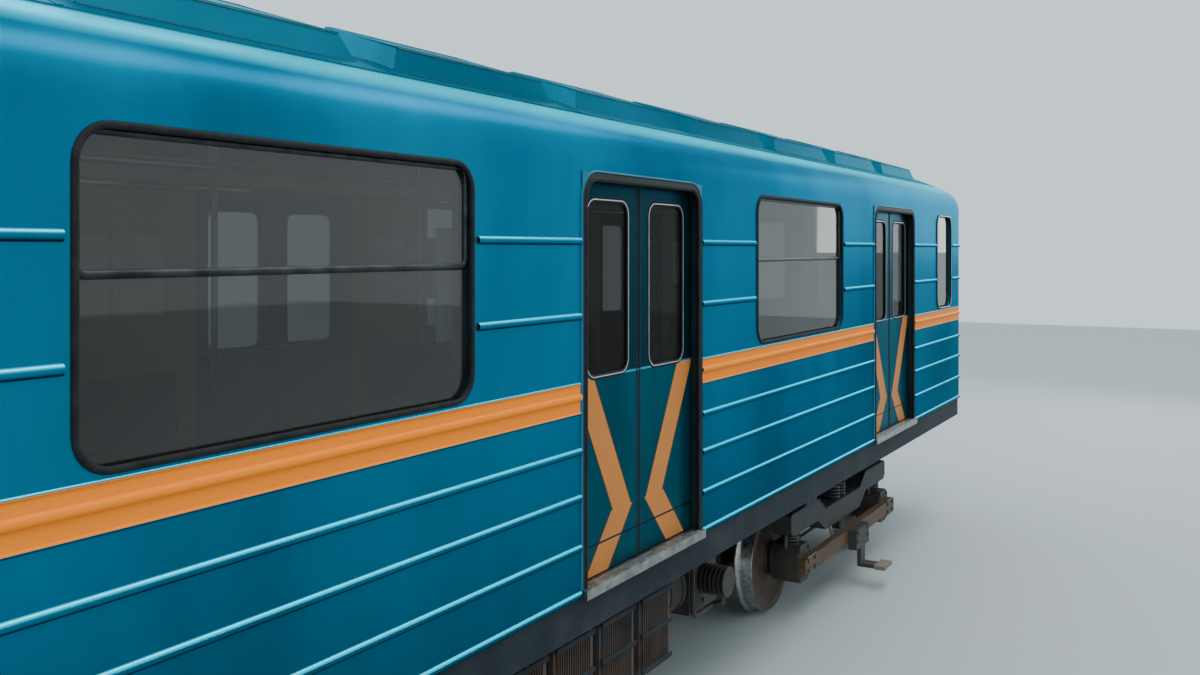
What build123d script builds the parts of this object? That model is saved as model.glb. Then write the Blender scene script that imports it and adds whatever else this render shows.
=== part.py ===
"""Metro car: a full-size four-door underground railway car without a cab, both ends alike.

Millimetres. +X runs along the car towards its front end, +Y to its left, +Z up. The origin is on the
floor under the middle of the car, at the height of the wheel flanges' tips.
"""

import math
import os

from build123d import *

# Rails and height datum
FLANGE_DEPTH = 28
RAIL = FLANGE_DEPTH
GAUGE = 1520

# Body shell, outside sizes
BODY_LENGTH = 18770
BODY_WIDTH = 2700
SKIN_RAISE = 1160
WALL_HEIGHT = 1930
SHOULDER_RAISE = 40
CANT_RADIUS = 250
ROOF_RISE = 510
WALL = 120
END_WALL = 90
END_CORNER_CUT = 32

# How far a cut runs past a face, and a joined piece into its neighbour
OVERRUN = 1

# Sides that stand for a round outline: wheels, other round pieces, thin rods, and corners of openings
WHEEL_FLAT_COUNT = 36
BAR_FLAT_COUNT = 24
ROD_FLAT_COUNT = 6
SPRING_FLAT_COUNT = 8
CORNER_CHORD_COUNT = 3

# Doorways and their sliding leaves
DOOR_COUNT = 4
END_BAY_LENGTH = 2515
DOORWAY_WIDTH = 1210
DOORWAY_CORNER = 100
PORTAL_RIM = 30
PORTAL_PROUD = 6
POCKET_SKIN = 45
POCKET_GAP = 44
LEAF_THICKNESS = 32
LEAF_OVERLAP = 25
LEAF_GAP = 6
LEAF_SHOWING = 5
LEAF_RAISE = 8
LEAF_HEAD = 60
LEAF_HEAD_GAP = 10
POCKET_SPARE = 10
LEAF_STILE = 106
LEAF_OUTER_STILE = 96
LEAF_PANE_BOTTOM = 970
LEAF_PANE_HEAD = 90
LEAF_PANE_RADIUS = 70
SILL_PROUD = 30
SILL_LIP = 15

# Side and end windows, heights above the skin's bottom edge
WINDOW_TO_POCKET = 205
WINDOW_BOTTOM = 985
WINDOW_HEAD = 20
WINDOW_RADIUS = 110
END_BAY_WINDOW_TO_POCKET = 265
END_BAY_WINDOW_TO_CORNER = 400
END_WINDOW_TO_DOOR = 290
END_WINDOW_TO_CORNER = 340
PANE_THICKNESS = 6
PANE_LIP = 20
SASH_BAR = 26
SASH_BAR_DROP = 390

# Pressed ribs, heights of their centre lines above the skin's bottom edge
RIB_FOOT = 30
RIB_CREST = 12
RIB_HEIGHT = 12
UPPER_RIBS = (1610, 1270)
BELT_RIB = 905
LOWER_RIBS = (660, 450, 224, 14)
RIB_TO_WINDOW = 28
RIB_TO_DOOR = 12

# Floor, end doors and their hinges
FLOOR_THICKNESS = 40
FLOOR_RISE = 30
END_DOOR_WIDTH = 600
END_DOOR_HEIGHT = 1870
END_DOOR_THICKNESS = 35
END_DOOR_GAP = 8
END_DOOR_PANE_WIDTH = 380

# Underframe
SIDE_SILL_HEIGHT = 180
SIDE_SILL_WIDTH = 90
SIDE_SILL_RECESS = 15
CROSS_MEMBER_WIDTH = 80
CROSS_MEMBER_HEIGHT = 140
CROSS_MEMBER_COUNT = 15
HEADSTOCK_WIDTH = 120
BODY_BOLSTER_WIDTH = 420
CENTRE_SILL_SPACING = 300
CENTRE_SILL_WIDTH = 70
JACK_PAD = (220, 90, 25)
JACK_PAD_TO_BOGIE = 1520

# Bogies
BOGIE_OVERHANG = 3085
WHEELBASE = 2100
WHEEL_RADIUS = 392.5
WHEEL_WIDTH = 130
WHEEL_BACK = 40
FLANGE_WIDTH = 32
RIM_THICKNESS = 65
WEB_RECESS = 35
HUB_RADIUS = 125
TREAD_FALL = 3
HUB_PROUD = 10
AXLE_RADIUS = 80
JOURNAL_OUTSET = 240
AXLE_BOX_LENGTH = 270
AXLE_BOX_WIDTH = 220
AXLE_BOX_HEIGHT = 280
BORE_GAP = 1.5
JOURNAL_SPARE = 6
BOX_COVER = 40
SPRING_RADIUS = 68
BEAM_WIDTH = 150
AXLE_SPRING_HEIGHT = 77.5
BEAM_DEPTH = 170
BEAM_MID_DROP = 110
BEAM_OVERHANG = 40
BEAM_SLOPE = 190
CROSS_BEAM_X = 330
CROSS_BEAM_LENGTH = 150
CROSS_BEAM_INSET = 8
SWING_SPACE = 15
BOLSTER_LENGTH = 300
BOLSTER_HEIGHT = 150
CENTRE_PIN_RADIUS = 60
CENTRE_PLATE_RADIUS = 240
CENTRE_GAP = 5
CENTRE_PLATE_HEIGHT = 30
BODY_PLATE_HEIGHT = 20
AXLE_BOX_CUT = 60
MOTOR_RADIUS = 255
MOTOR_LENGTH = 640
GEAR_CASE_RADIUS = 230
GEAR_CASE_WIDTH = 130
GEAR_CASE_INSET = 290
GEAR_NECK = 300
MOTOR_NOSE = 180
COLLECTOR_REACH = 1450
COLLECTOR_RAISE = 160
COLLECTOR_BEAM = (60, 110)
COLLECTOR_MOUNT = (340, 70, 160)
COLLECTOR_ARM = 30
COLLECTOR_ARM_WIDTH = 120
COLLECTOR_SHOE = (220, 90)
COLLECTOR_SHOE_RAISE = 8

# Couplers
COUPLER_RAISE = 765
COUPLER_REACH = 198
COUPLER_LENGTH = 1023
COUPLER_PIN_RADIUS = 42
COUPLER_SHANK_RADIUS = 65
COUPLER_SHANK_WAIST = 10
COUPLER_HEAD = (250, 330, 300)
COUPLER_HEAD_CUT = 70
COUPLER_EYE_WALL = 40
AIR_BLOCK = 90
COUPLER_CONE_RADIUS = 52
COUPLER_CONE_LENGTH = 100
COUPLER_CONE_TAPER = 12
COUPLER_POCKET_GAP = 6
COUPLER_FORK_GAP = 5
FORK_LUG = 40
FORK_BACK = 170
FORK_FRONT = 90

# Saloon fittings
BENCH_DEPTH = 460
BENCH_HEIGHT = 380
BENCH_NOSE = 40
CUSHION_THICKNESS = 80
BACKREST_HEIGHT = 420
BACKREST_THICKNESS = 70
BENCH_TO_DOOR = 150
BENCH_END_GAP = 5
GRAB_RADIUS = 17
HANGER_RADIUS = 12
GRAB_RAIL_INSET = 590
GRAB_RAIL_HEIGHT = 1850
HANGER_INSET = 250
POST_INSET = 60
CEILING_GAP = 1
LAMP_SIZE = (900, 240, 55)
LAMP_COUNT = 12

# Roof ventilators
VENT_COUNT = 13
VENT_TO_END = 895
VENT_SPACE = 220
VENT_SLOPE = 140
VENT_TO_SIDE = 375
VENT_WIDTH = 545
VENT_HEIGHT = 105
VENT_LEAN = 35

# Equipment under the floor; places and lengths count the pitch of the cross members from the middle one,
# and depths start at the sills
# Columns: what the case holds, side, place, length, outer face's inset from the skin, width, depth
CASES = (
    ("battery", 1, -4, 2.4, 160, 640, 520),
    ("line breakers", 1, -1.5, 1.9, 170, 560, 430),
    ("motor controller", 1, 0.5, 1.9, 170, 560, 560),
    ("fuses", 1, 2.5, 1.15, 180, 480, 380),
    ("field shunts", -1, -4.5, 1.65, 180, 480, 400),
    ("brake valves", 1, 4.5, 1.3, 190, 520, 420),
)
LID_PROUD = 22
LID_MARGIN = 40
# Columns: place, length, centre's inset from the skin, radius
RESERVOIRS = (
    (-2.5, 2.15, 400, 200),
    (-2.5, 1.9, 870, 165),
)
STRAP_WIDTH = 60
STRAP_DROP = 60
RESISTOR_PLACE = 2
RESISTOR_LENGTH = 3.05
RESISTOR_INSET = 120
RESISTOR_WIDTH = 580
RESISTOR_DEPTH = 480
RESISTOR_BOXES = 6
RESISTOR_SPACE = 60
RESISTOR_FRAME = 40
COMPRESSOR_PLACE = 4.5
COMPRESSOR_INSET = 550
COMPRESSOR_DROP = 330
COMPRESSOR_FRAME = 60
# How far the frame runs past its hangers at the motor's end and at the crankcase's end
COMPRESSOR_OVERHANGS = (85.25, 6.25)
COMPRESSOR_MOTOR_RADIUS = 190
COMPRESSOR_MOTOR_LENGTH = 480
CRANKCASE_SIZE = (400, 360, 400)
CYLINDER_HEAD_RADIUS = 95
CYLINDER_HEAD_LENGTH = 180

# Places worked out from the sizes above
HALF_LENGTH = BODY_LENGTH / 2
HALF_WIDTH = BODY_WIDTH / 2
INNER_Y = HALF_WIDTH - WALL
SALOON_X = HALF_LENGTH - END_WALL
SKIN_BOTTOM = RAIL + SKIN_RAISE
WALL_TOP = SKIN_BOTTOM + WALL_HEIGHT
CANT_START = WALL_TOP + SHOULDER_RAISE
CANT_JOINT_Y = HALF_WIDTH - CANT_RADIUS
ROOF_CROWN = CANT_START + ROOF_RISE
CROWN_HALF_ANGLE = 2 * math.atan((ROOF_RISE - CANT_RADIUS) / CANT_JOINT_Y)
CROWN_RADIUS = CANT_JOINT_Y / math.sin(CROWN_HALF_ANGLE) + CANT_RADIUS
CROWN_CENTRE = ROOF_CROWN - CROWN_RADIUS
CEILING_RADIUS = CROWN_RADIUS - WALL
DOOR_PITCH = (BODY_LENGTH - 2 * END_BAY_LENGTH) / (DOOR_COUNT - 1)
DOOR_XS = [(i - (DOOR_COUNT - 1) / 2) * DOOR_PITCH for i in range(DOOR_COUNT)]
HALF_DOORWAY = DOORWAY_WIDTH / 2
DOORWAY_TOP = WALL_TOP - PORTAL_RIM
FLOOR_TOP = SKIN_BOTTOM + FLOOR_RISE
WALL_CUT = HALF_DOORWAY + PORTAL_RIM
LEAF_TRAVEL = HALF_DOORWAY - LEAF_SHOWING
POCKET_REACH = HALF_DOORWAY + LEAF_OVERLAP + LEAF_TRAVEL + POCKET_SPARE
POCKET_OUT_Y = HALF_WIDTH - POCKET_SKIN
POCKET_IN_Y = POCKET_OUT_Y - POCKET_GAP
LEAF_OUT_Y = POCKET_OUT_Y - (POCKET_GAP - LEAF_THICKNESS) / 2
LEAF_IN_Y = LEAF_OUT_Y - LEAF_THICKNESS
LEAF_BOTTOM = FLOOR_TOP + LEAF_RAISE
LEAF_TOP = DOORWAY_TOP + LEAF_HEAD
LEAF_PANE_WIDTH = HALF_DOORWAY - LEAF_GAP / 2 - LEAF_STILE - LEAF_OUTER_STILE
LEAF_PANE_HEIGHT = DOORWAY_TOP - LEAF_PANE_HEAD - SKIN_BOTTOM - LEAF_PANE_BOTTOM
WINDOW_WIDTH = DOOR_PITCH - 2 * (POCKET_REACH + WINDOW_TO_POCKET)
WINDOW_HEIGHT = WALL_HEIGHT - WINDOW_HEAD - WINDOW_BOTTOM
END_BAY_WINDOW = (
    DOOR_XS[-1] + POCKET_REACH + END_BAY_WINDOW_TO_POCKET,
    HALF_LENGTH - END_BAY_WINDOW_TO_CORNER,
)
END_WINDOW = (END_DOOR_WIDTH / 2 + END_WINDOW_TO_DOOR, HALF_WIDTH - END_WINDOW_TO_CORNER)
PANE_OUT_Y = HALF_WIDTH - PANE_LIP
SILL_BOTTOM = SKIN_BOTTOM - SIDE_SILL_HEIGHT
MEMBER_BOTTOM = FLOOR_TOP - FLOOR_THICKNESS - CROSS_MEMBER_HEIGHT
BOGIE_X = HALF_LENGTH - BOGIE_OVERHANG
BODY_BOLSTER_X = (BOGIE_X - BODY_BOLSTER_WIDTH / 2, BOGIE_X + BODY_BOLSTER_WIDTH / 2)
CROSS_MEMBER_PITCH = 2 * BOGIE_X / (CROSS_MEMBER_COUNT + 1)
JACK_PAD_X = BOGIE_X - JACK_PAD_TO_BOGIE
JOURNAL_CENTRE = GAUGE / 2 + JOURNAL_OUTSET
GEAR_CASE_Y = GAUGE / 2 - GEAR_CASE_INSET
AXLE_Z = RAIL + WHEEL_RADIUS
BEAM_END_BOTTOM = AXLE_Z + AXLE_BOX_HEIGHT / 2 + AXLE_SPRING_HEIGHT
BEAM_MID_TOP = BEAM_END_BOTTOM + BEAM_DEPTH - BEAM_MID_DROP
BOLSTER_TOP = SILL_BOTTOM - CENTRE_GAP - BODY_PLATE_HEIGHT
BOLSTER_BOTTOM = BOLSTER_TOP - BOLSTER_HEIGHT
COLLECTOR_HEIGHT = RAIL + COLLECTOR_RAISE
COUPLER_HEIGHT = RAIL + COUPLER_RAISE
COUPLER_FACE_X = HALF_LENGTH + COUPLER_REACH
COUPLER_PIVOT_X = COUPLER_FACE_X - COUPLER_LENGTH
GRAB_RAIL_Y = INNER_Y - GRAB_RAIL_INSET
VENT_PITCH = 2 * (SALOON_X - VENT_TO_END) / (VENT_COUNT - 1)
VENT_LENGTH = VENT_PITCH - VENT_SPACE
VENT_TOP_LENGTH = VENT_LENGTH - 2 * VENT_SLOPE
VENT_OUTER_Y = HALF_WIDTH - VENT_TO_SIDE
VENT_INNER_Y = VENT_OUTER_Y - VENT_WIDTH
SIDES = (("left", 1), ("right", -1))
ENDS = (("front", 1), ("rear", -1))


def block(x, y, z):
    """A box between two corners, each given as (low, high) along its axis."""
    size = (x[1] - x[0], y[1] - y[0], z[1] - z[0])
    return Pos((x[0] + x[1]) / 2, (y[0] + y[1]) / 2, (z[0] + z[1]) / 2) * Box(*size)


def bar(x, y, z, radius, length, axis, flats=BAR_FLAT_COUNT):
    """A round bar or bore centred on a point, along X, Y or Z, as a prism whose flats lie at the radius."""
    turn = {"X": Rot(0, 90, 0), "Y": Rot(90, 0, 0), "Z": Rot(0, 0, 0)}[axis]
    outline = RegularPolygon(radius, flats, major_radius=False, rotation=180 / flats)
    return Pos(x, y, z) * turn * Pos(0, 0, -length / 2) * extrude(outline, length)


def soft_rectangle(width, height, radius):
    """A rectangle whose corners are rounded by short chords, for the windows' pressed openings."""
    points = []
    for quarter, (across, up) in enumerate(((1, 1), (-1, 1), (-1, -1), (1, -1))):
        centre_x = across * (width / 2 - radius)
        centre_y = up * (height / 2 - radius)
        for chord in range(CORNER_CHORD_COUNT + 1):
            angle = math.pi / 2 * (quarter + chord / CORNER_CHORD_COUNT)
            points.append((centre_x + radius * math.cos(angle), centre_y + radius * math.sin(angle)))
    return make_face(Polyline(*points, close=True))


def side_opening(x, z, width, height, radius, y):
    """A prism along Y with rounded corners, between two Y values; x is its centre and z its bottom."""
    face = Plane.XZ * Pos(x, z + height / 2) * soft_rectangle(width, height, radius)
    return Pos(0, y[1], 0) * extrude(face, y[1] - y[0])


def end_opening(y, z, width, height, radius, x):
    """The same prism along X, between two X values; y is its centre and z its bottom."""
    face = Plane.YZ * Pos(y, z + height / 2) * soft_rectangle(width, height, radius)
    return Pos(x[0], 0, 0) * extrude(face, x[1] - x[0])


def mirrored(part, side):
    """The part as drawn for the left side, or its mirror image for the right side."""
    return part if side > 0 else mirror(part, about=Plane.XZ)


def turned(part, end):
    """The part as drawn for the front end, or turned half round for the rear end."""
    return part if end > 0 else Rot(0, 0, 180) * part


def joined(parts):
    """Solids fused into one piece."""
    first, *rest = parts
    return first.fuse(*rest) if rest else first


def roof_outline(inset=0):
    """Arcs of the roof's outer profile in Y and Z, from right to left, moved inwards by inset."""
    cant = CANT_RADIUS - inset
    crown = CROWN_RADIUS - inset
    cant_y = CANT_JOINT_Y
    angle = math.pi / 2 - CROWN_HALF_ANGLE
    knee_y = cant_y + cant * math.cos(angle)
    knee_z = CANT_START + cant * math.sin(angle)
    mid_y = cant_y + cant * math.cos(angle / 2)
    mid_z = CANT_START + cant * math.sin(angle / 2)
    edge_y = cant_y + cant
    return [
        ThreePointArc((-edge_y, CANT_START), (-mid_y, mid_z), (-knee_y, knee_z)),
        ThreePointArc((-knee_y, knee_z), (0, CROWN_CENTRE + crown), (knee_y, knee_z)),
        ThreePointArc((knee_y, knee_z), (mid_y, mid_z), (edge_y, CANT_START)),
    ]


def roof_height(y):
    """Height of the roof's outer surface at a distance y from the centre line."""
    return CROWN_CENTRE + math.sqrt(CROWN_RADIUS**2 - y**2)


def ceiling_height(y):
    """Height of the ceiling at a distance y from the centre line."""
    return CROWN_CENTRE + math.sqrt(CEILING_RADIUS**2 - y**2)


# Side walls: five panels a side, with windows, leaf pockets and pressed ribs
def rib_section(skin, height):
    """Outline of a pressed rib on a skin that stands at a distance from the middle of the car."""
    middle = SKIN_BOTTOM + height
    outline = Polyline(
        (skin - OVERRUN, middle - RIB_FOOT / 2),
        (skin + RIB_HEIGHT, middle - RIB_CREST / 2),
        (skin + RIB_HEIGHT, middle + RIB_CREST / 2),
        (skin - OVERRUN, middle + RIB_FOOT / 2),
        close=True,
    )
    return make_face(outline)


def rib(x, height):
    """A pressed rib along X on the left wall's skin."""
    return Pos(x[0], 0, 0) * extrude(Plane.YZ * rib_section(HALF_WIDTH, height), x[1] - x[0])


def wall_bays():
    """Each bay of a side wall: its ends, its window's ends, and which of its ends hold a leaf pocket."""
    bays = []
    for left, right in zip(DOOR_XS[:-1], DOOR_XS[1:]):
        middle = (left + right) / 2
        window = (middle - WINDOW_WIDTH / 2, middle + WINDOW_WIDTH / 2)
        bays.append(((left + WALL_CUT, right - WALL_CUT), window, (True, True)))
    for end in (1, -1):
        inner = DOOR_XS[-1] + WALL_CUT
        start, stop = END_BAY_WINDOW
        if end > 0:
            bays.append(((inner, SALOON_X), (start, stop), (True, False)))
        else:
            bays.append(((-SALOON_X, -inner), (-stop, -start), (False, True)))
    return bays


def wall_panel(bay):
    """One panel between doorways, drawn for the left side."""
    (start, stop), (window_start, window_stop), (pocket_low, pocket_high) = bay
    panel = block((start, stop), (INNER_Y, HALF_WIDTH), (SKIN_BOTTOM, WALL_TOP))
    window_x = (window_start + window_stop) / 2
    width = window_stop - window_start
    sill = SKIN_BOTTOM + WINDOW_BOTTOM
    panel -= side_opening(window_x, sill, width, WINDOW_HEIGHT, WINDOW_RADIUS, (0, HALF_WIDTH + OVERRUN))
    panel -= block(
        (window_start - PANE_LIP, window_stop + PANE_LIP),
        (INNER_Y - OVERRUN, PANE_OUT_Y),
        (sill - PANE_LIP, min(sill + WINDOW_HEIGHT + PANE_LIP, WALL_TOP)),
    )
    depth = POCKET_REACH - WALL_CUT
    pockets = []
    if pocket_low:
        pockets.append((start - OVERRUN, start + depth))
    if pocket_high:
        pockets.append((stop - depth, stop + OVERRUN))
    for pocket in pockets:
        panel -= block(pocket, (POCKET_IN_Y, POCKET_OUT_Y), (FLOOR_TOP, WALL_TOP + OVERRUN))
    low = start + (RIB_TO_DOOR if pocket_low else 0)
    high = stop - (RIB_TO_DOOR if pocket_high else 0)
    ribs = [rib((low, high), height) for height in (BELT_RIB, *LOWER_RIBS)]
    for height in UPPER_RIBS:
        ribs.append(rib((low, window_start - RIB_TO_WINDOW), height))
        ribs.append(rib((window_stop + RIB_TO_WINDOW, high), height))
    return panel.fuse(*ribs)


def side_wall(side):
    return Compound([mirrored(wall_panel(bay), side) for bay in wall_bays()])


# Window panes and vent bars, one node each for the whole car
def window_panes():
    panes = []
    for _, side in SIDES:
        for _, (start, stop), _ in wall_bays():
            low = SKIN_BOTTOM + WINDOW_BOTTOM - PANE_LIP
            high = min(low + WINDOW_HEIGHT + 2 * PANE_LIP, WALL_TOP)
            y = (PANE_OUT_Y - PANE_THICKNESS, PANE_OUT_Y)
            panes.append(mirrored(block((start - PANE_LIP, stop + PANE_LIP), y, (low, high)), side))
    for _, end in ENDS:
        for side in (1, -1):
            middle = side * sum(END_WINDOW) / 2
            half = (END_WINDOW[1] - END_WINDOW[0]) / 2 + PANE_LIP
            low = SKIN_BOTTOM + WINDOW_BOTTOM - PANE_LIP
            z = (low, low + WINDOW_HEIGHT + 2 * PANE_LIP)
            out = HALF_LENGTH - PANE_LIP
            pane = block((out - PANE_THICKNESS, out), (middle - half, middle + half), z)
            panes.append(turned(pane, end))
    return Compound(panes)


def sash_bars():
    """Horizontal bars under the opening vent lights of the wide windows, behind the glass."""
    bars = []
    top = SKIN_BOTTOM + WINDOW_BOTTOM + WINDOW_HEIGHT - SASH_BAR_DROP
    for _, side in SIDES:
        for _, (start, stop), ends in wall_bays():
            if all(ends):
                y = (PANE_OUT_Y - PANE_THICKNESS - SASH_BAR, PANE_OUT_Y - PANE_THICKNESS)
                piece = block((start - PANE_LIP, stop + PANE_LIP), y, (top - SASH_BAR, top))
                bars.append(mirrored(piece, side))
    return Compound(bars)


# Door portals, sills and sliding leaves
def door_portals():
    """Round-cornered rims that line each doorway in front of the leaves."""
    rims = []
    height = WALL_TOP - FLOOR_TOP
    for _, side in SIDES:
        for x in DOOR_XS:
            y = (POCKET_OUT_Y, HALF_WIDTH + PORTAL_PROUD)
            rim = block((x - WALL_CUT, x + WALL_CUT), y, (FLOOR_TOP, WALL_TOP))
            bottom = FLOOR_TOP - height
            tall = DOORWAY_TOP - bottom
            through = (y[0] - OVERRUN, y[1] + OVERRUN)
            rim -= side_opening(x, bottom, DOORWAY_WIDTH, tall, DOORWAY_CORNER, through)
            rims.append(mirrored(rim, side))
    return Compound(rims)


def door_sills():
    """Worn metal treads across each doorway, with a lip that stands proud of the skin."""
    sills = []
    frame_face = HALF_WIDTH - SIDE_SILL_RECESS
    outer = HALF_WIDTH + SILL_PROUD
    for _, side in SIDES:
        for x in DOOR_XS:
            width = (x - WALL_CUT, x + WALL_CUT)
            tread = block(width, (INNER_Y, outer), (SKIN_BOTTOM, FLOOR_TOP))
            lip = block(width, (frame_face, outer), (SKIN_BOTTOM - SILL_LIP, SKIN_BOTTOM))
            sills.append(mirrored(joined([tread, lip]), side))
    return Compound(sills)


def door_leaf(x, side, direction):
    """One sliding leaf with its glass; direction is +1 for the leaf that opens towards +X."""
    inner = LEAF_GAP / 2
    outer = HALF_DOORWAY + LEAF_OVERLAP
    leaf = block((inner, outer), (LEAF_IN_Y, LEAF_OUT_Y), (LEAF_BOTTOM, LEAF_TOP))
    middle = inner + LEAF_STILE + LEAF_PANE_WIDTH / 2
    sill = SKIN_BOTTOM + LEAF_PANE_BOTTOM
    hole = side_opening(
        middle, sill, LEAF_PANE_WIDTH, LEAF_PANE_HEIGHT, LEAF_PANE_RADIUS, (0, LEAF_OUT_Y + OVERRUN)
    )
    half = LEAF_PANE_WIDTH / 2 + PANE_LIP
    low = sill - PANE_LIP
    high = sill + LEAF_PANE_HEIGHT + PANE_LIP
    lip_y = LEAF_OUT_Y - PANE_LIP / 2
    rebate = block((middle - half, middle + half), (LEAF_IN_Y - OVERRUN, lip_y), (low, high))
    pane = block((middle - half, middle + half), (lip_y - PANE_THICKNESS, lip_y), (low, high))
    pieces = []
    for solid in ((leaf - hole - rebate), pane):
        if direction < 0:
            solid = mirror(solid, about=Plane.YZ)
        pieces.append(mirrored(Pos(x, 0, 0) * solid, side))
    return Compound(pieces)


# End walls with their hinged doors
def end_wall(end):
    """The whole end of the body, with a doorway, two windows and ribs, drawn for the front end."""
    low = SKIN_BOTTOM
    corners = ((HALF_WIDTH, CANT_START), (HALF_WIDTH, low), (-HALF_WIDTH, low), (-HALF_WIDTH, CANT_START))
    face = Plane.YZ * make_face([*roof_outline(), Polyline(*corners).edges()])
    wall = Pos(SALOON_X, 0, 0) * extrude(face, END_WALL)
    rim = wall.faces().sort_by(Axis.X)[-1].edges().filter_by(lambda e: e.center().Z > low + OVERRUN)
    wall = chamfer(rim, END_CORNER_CUT)
    through = (SALOON_X - OVERRUN, HALF_LENGTH + OVERRUN)
    half = END_DOOR_WIDTH / 2
    wall -= block(through, (-half, half), (FLOOR_TOP, FLOOR_TOP + END_DOOR_HEIGHT))
    sill = low + WINDOW_BOTTOM
    width = END_WINDOW[1] - END_WINDOW[0]
    reach = width / 2 + PANE_LIP
    for side in (1, -1):
        y = side * sum(END_WINDOW) / 2
        wall -= end_opening(y, sill, width, WINDOW_HEIGHT, WINDOW_RADIUS, through)
        wall -= block(
            (through[0], HALF_LENGTH - PANE_LIP),
            (y - reach, y + reach),
            (sill - PANE_LIP, sill + WINDOW_HEIGHT + PANE_LIP),
        )
    inner = half + 2 * PORTAL_RIM
    outer = HALF_WIDTH - END_CORNER_CUT
    ribs = []
    for height in (BELT_RIB, *LOWER_RIBS):
        bead = extrude(Plane.XZ * rib_section(HALF_LENGTH, height), outer - inner)
        strip = rib((SALOON_X, HALF_LENGTH - END_CORNER_CUT), height)
        for side in (1, -1):
            ribs.append(Pos(0, outer if side > 0 else -inner, 0) * bead)
            ribs.append(mirrored(strip, side))
    return turned(wall.fuse(*ribs), end)


def end_door(end):
    """Hinged door between the cars, with its own glass, drawn for the front end."""
    half = END_DOOR_WIDTH / 2 - END_DOOR_GAP
    x = (SALOON_X + END_DOOR_GAP, SALOON_X + END_DOOR_GAP + END_DOOR_THICKNESS)
    top = FLOOR_TOP + END_DOOR_HEIGHT - END_DOOR_GAP
    leaf = block(x, (-half, half), (FLOOR_TOP + END_DOOR_GAP, top))
    sill = SKIN_BOTTOM + LEAF_PANE_BOTTOM
    through = (x[0] - OVERRUN, x[1] + OVERRUN)
    leaf -= end_opening(0, sill, END_DOOR_PANE_WIDTH, LEAF_PANE_HEIGHT, LEAF_PANE_RADIUS, through)
    reach = END_DOOR_PANE_WIDTH / 2 + PANE_LIP
    low = sill - PANE_LIP
    high = sill + LEAF_PANE_HEIGHT + PANE_LIP
    lip_x = x[1] - PANE_LIP / 2
    leaf -= block((x[0] - OVERRUN, lip_x), (-reach, reach), (low, high))
    pane = block((lip_x - PANE_THICKNESS, lip_x), (-reach, reach), (low, high))
    return Compound([turned(leaf, end), turned(pane, end)])


# Roof shell, its cant rails and its ventilators
def roof_shell():
    """Shell from one side wall's top edge to the other, with a track slot over each row of leaves."""
    outer = roof_outline()
    inner = roof_outline(WALL)
    inner_y = HALF_WIDTH - WALL
    edges = [*outer, *inner]
    for side in (1, -1):
        foot = ((HALF_WIDTH, CANT_START), (HALF_WIDTH, WALL_TOP), (inner_y, WALL_TOP), (inner_y, CANT_START))
        edges += Polyline(*[(side * y, z) for y, z in foot]).edges()
    face = Plane.YZ * make_face(edges)
    shell = Pos(-SALOON_X, 0, 0) * extrude(face, 2 * SALOON_X)
    slot = (WALL_TOP - OVERRUN, LEAF_TOP + LEAF_HEAD_GAP)
    for _, side in SIDES:
        y = sorted((side * POCKET_IN_Y, side * POCKET_OUT_Y))
        reach = DOOR_XS[-1] + POCKET_REACH
        shell -= block((-reach, reach), y, slot)
    return shell


def roof_band(y):
    """The length of roof shell between two Y values."""
    return roof_shell() & block((-SALOON_X, SALOON_X), y, (WALL_TOP - OVERRUN, ROOF_CROWN + OVERRUN))


def roof():
    """The arched crown between the two cant rails."""
    return roof_band((-CANT_JOINT_Y, CANT_JOINT_Y))


def cant_rail(side):
    """The rounded shoulder over a side wall, which carries the track of its door leaves."""
    return mirrored(roof_band((CANT_JOINT_Y, HALF_WIDTH + OVERRUN)), side)


def roof_vents():
    """Two rows of long ventilator hoods that sit on the roof's shoulders."""
    top_outer = roof_height(VENT_OUTER_Y) + VENT_HEIGHT
    top_inner = roof_height(VENT_INNER_Y) + VENT_HEIGHT
    section = Polyline(
        (VENT_INNER_Y, CANT_START),
        (VENT_OUTER_Y, CANT_START),
        (VENT_OUTER_Y, roof_height(VENT_OUTER_Y)),
        (VENT_OUTER_Y - VENT_LEAN, top_outer),
        (VENT_INNER_Y + VENT_LEAN, top_inner),
        (VENT_INNER_Y, roof_height(VENT_INNER_Y)),
        close=True,
    )
    across = Plane.YZ * make_face(section)
    across = Pos(-VENT_LENGTH / 2, 0, 0) * extrude(across, VENT_LENGTH)
    side_view = Polyline(
        (-VENT_LENGTH / 2, CANT_START),
        (VENT_LENGTH / 2, CANT_START),
        (VENT_LENGTH / 2, roof_height(VENT_OUTER_Y)),
        (VENT_TOP_LENGTH / 2, top_inner),
        (-VENT_TOP_LENGTH / 2, top_inner),
        (-VENT_LENGTH / 2, roof_height(VENT_OUTER_Y)),
        close=True,
    )
    along = Pos(0, VENT_OUTER_Y + OVERRUN, 0) * extrude(Plane.XZ * make_face(side_view), VENT_OUTER_Y)
    under_roof = Pos(0, 0, CROWN_CENTRE) * Rot(0, 90, 0) * Cylinder(CROWN_RADIUS, VENT_LENGTH + 2)
    hood = (across & along) - under_roof
    hoods = []
    for _, side in SIDES:
        for i in range(VENT_COUNT):
            x = (i - (VENT_COUNT - 1) / 2) * VENT_PITCH
            hoods.append(mirrored(Pos(x, 0, 0) * hood, side))
    return Compound(hoods)


# Floor and underframe
def floor():
    return block((-SALOON_X, SALOON_X), (-INNER_Y, INNER_Y), (FLOOR_TOP - FLOOR_THICKNESS, FLOOR_TOP))


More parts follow.
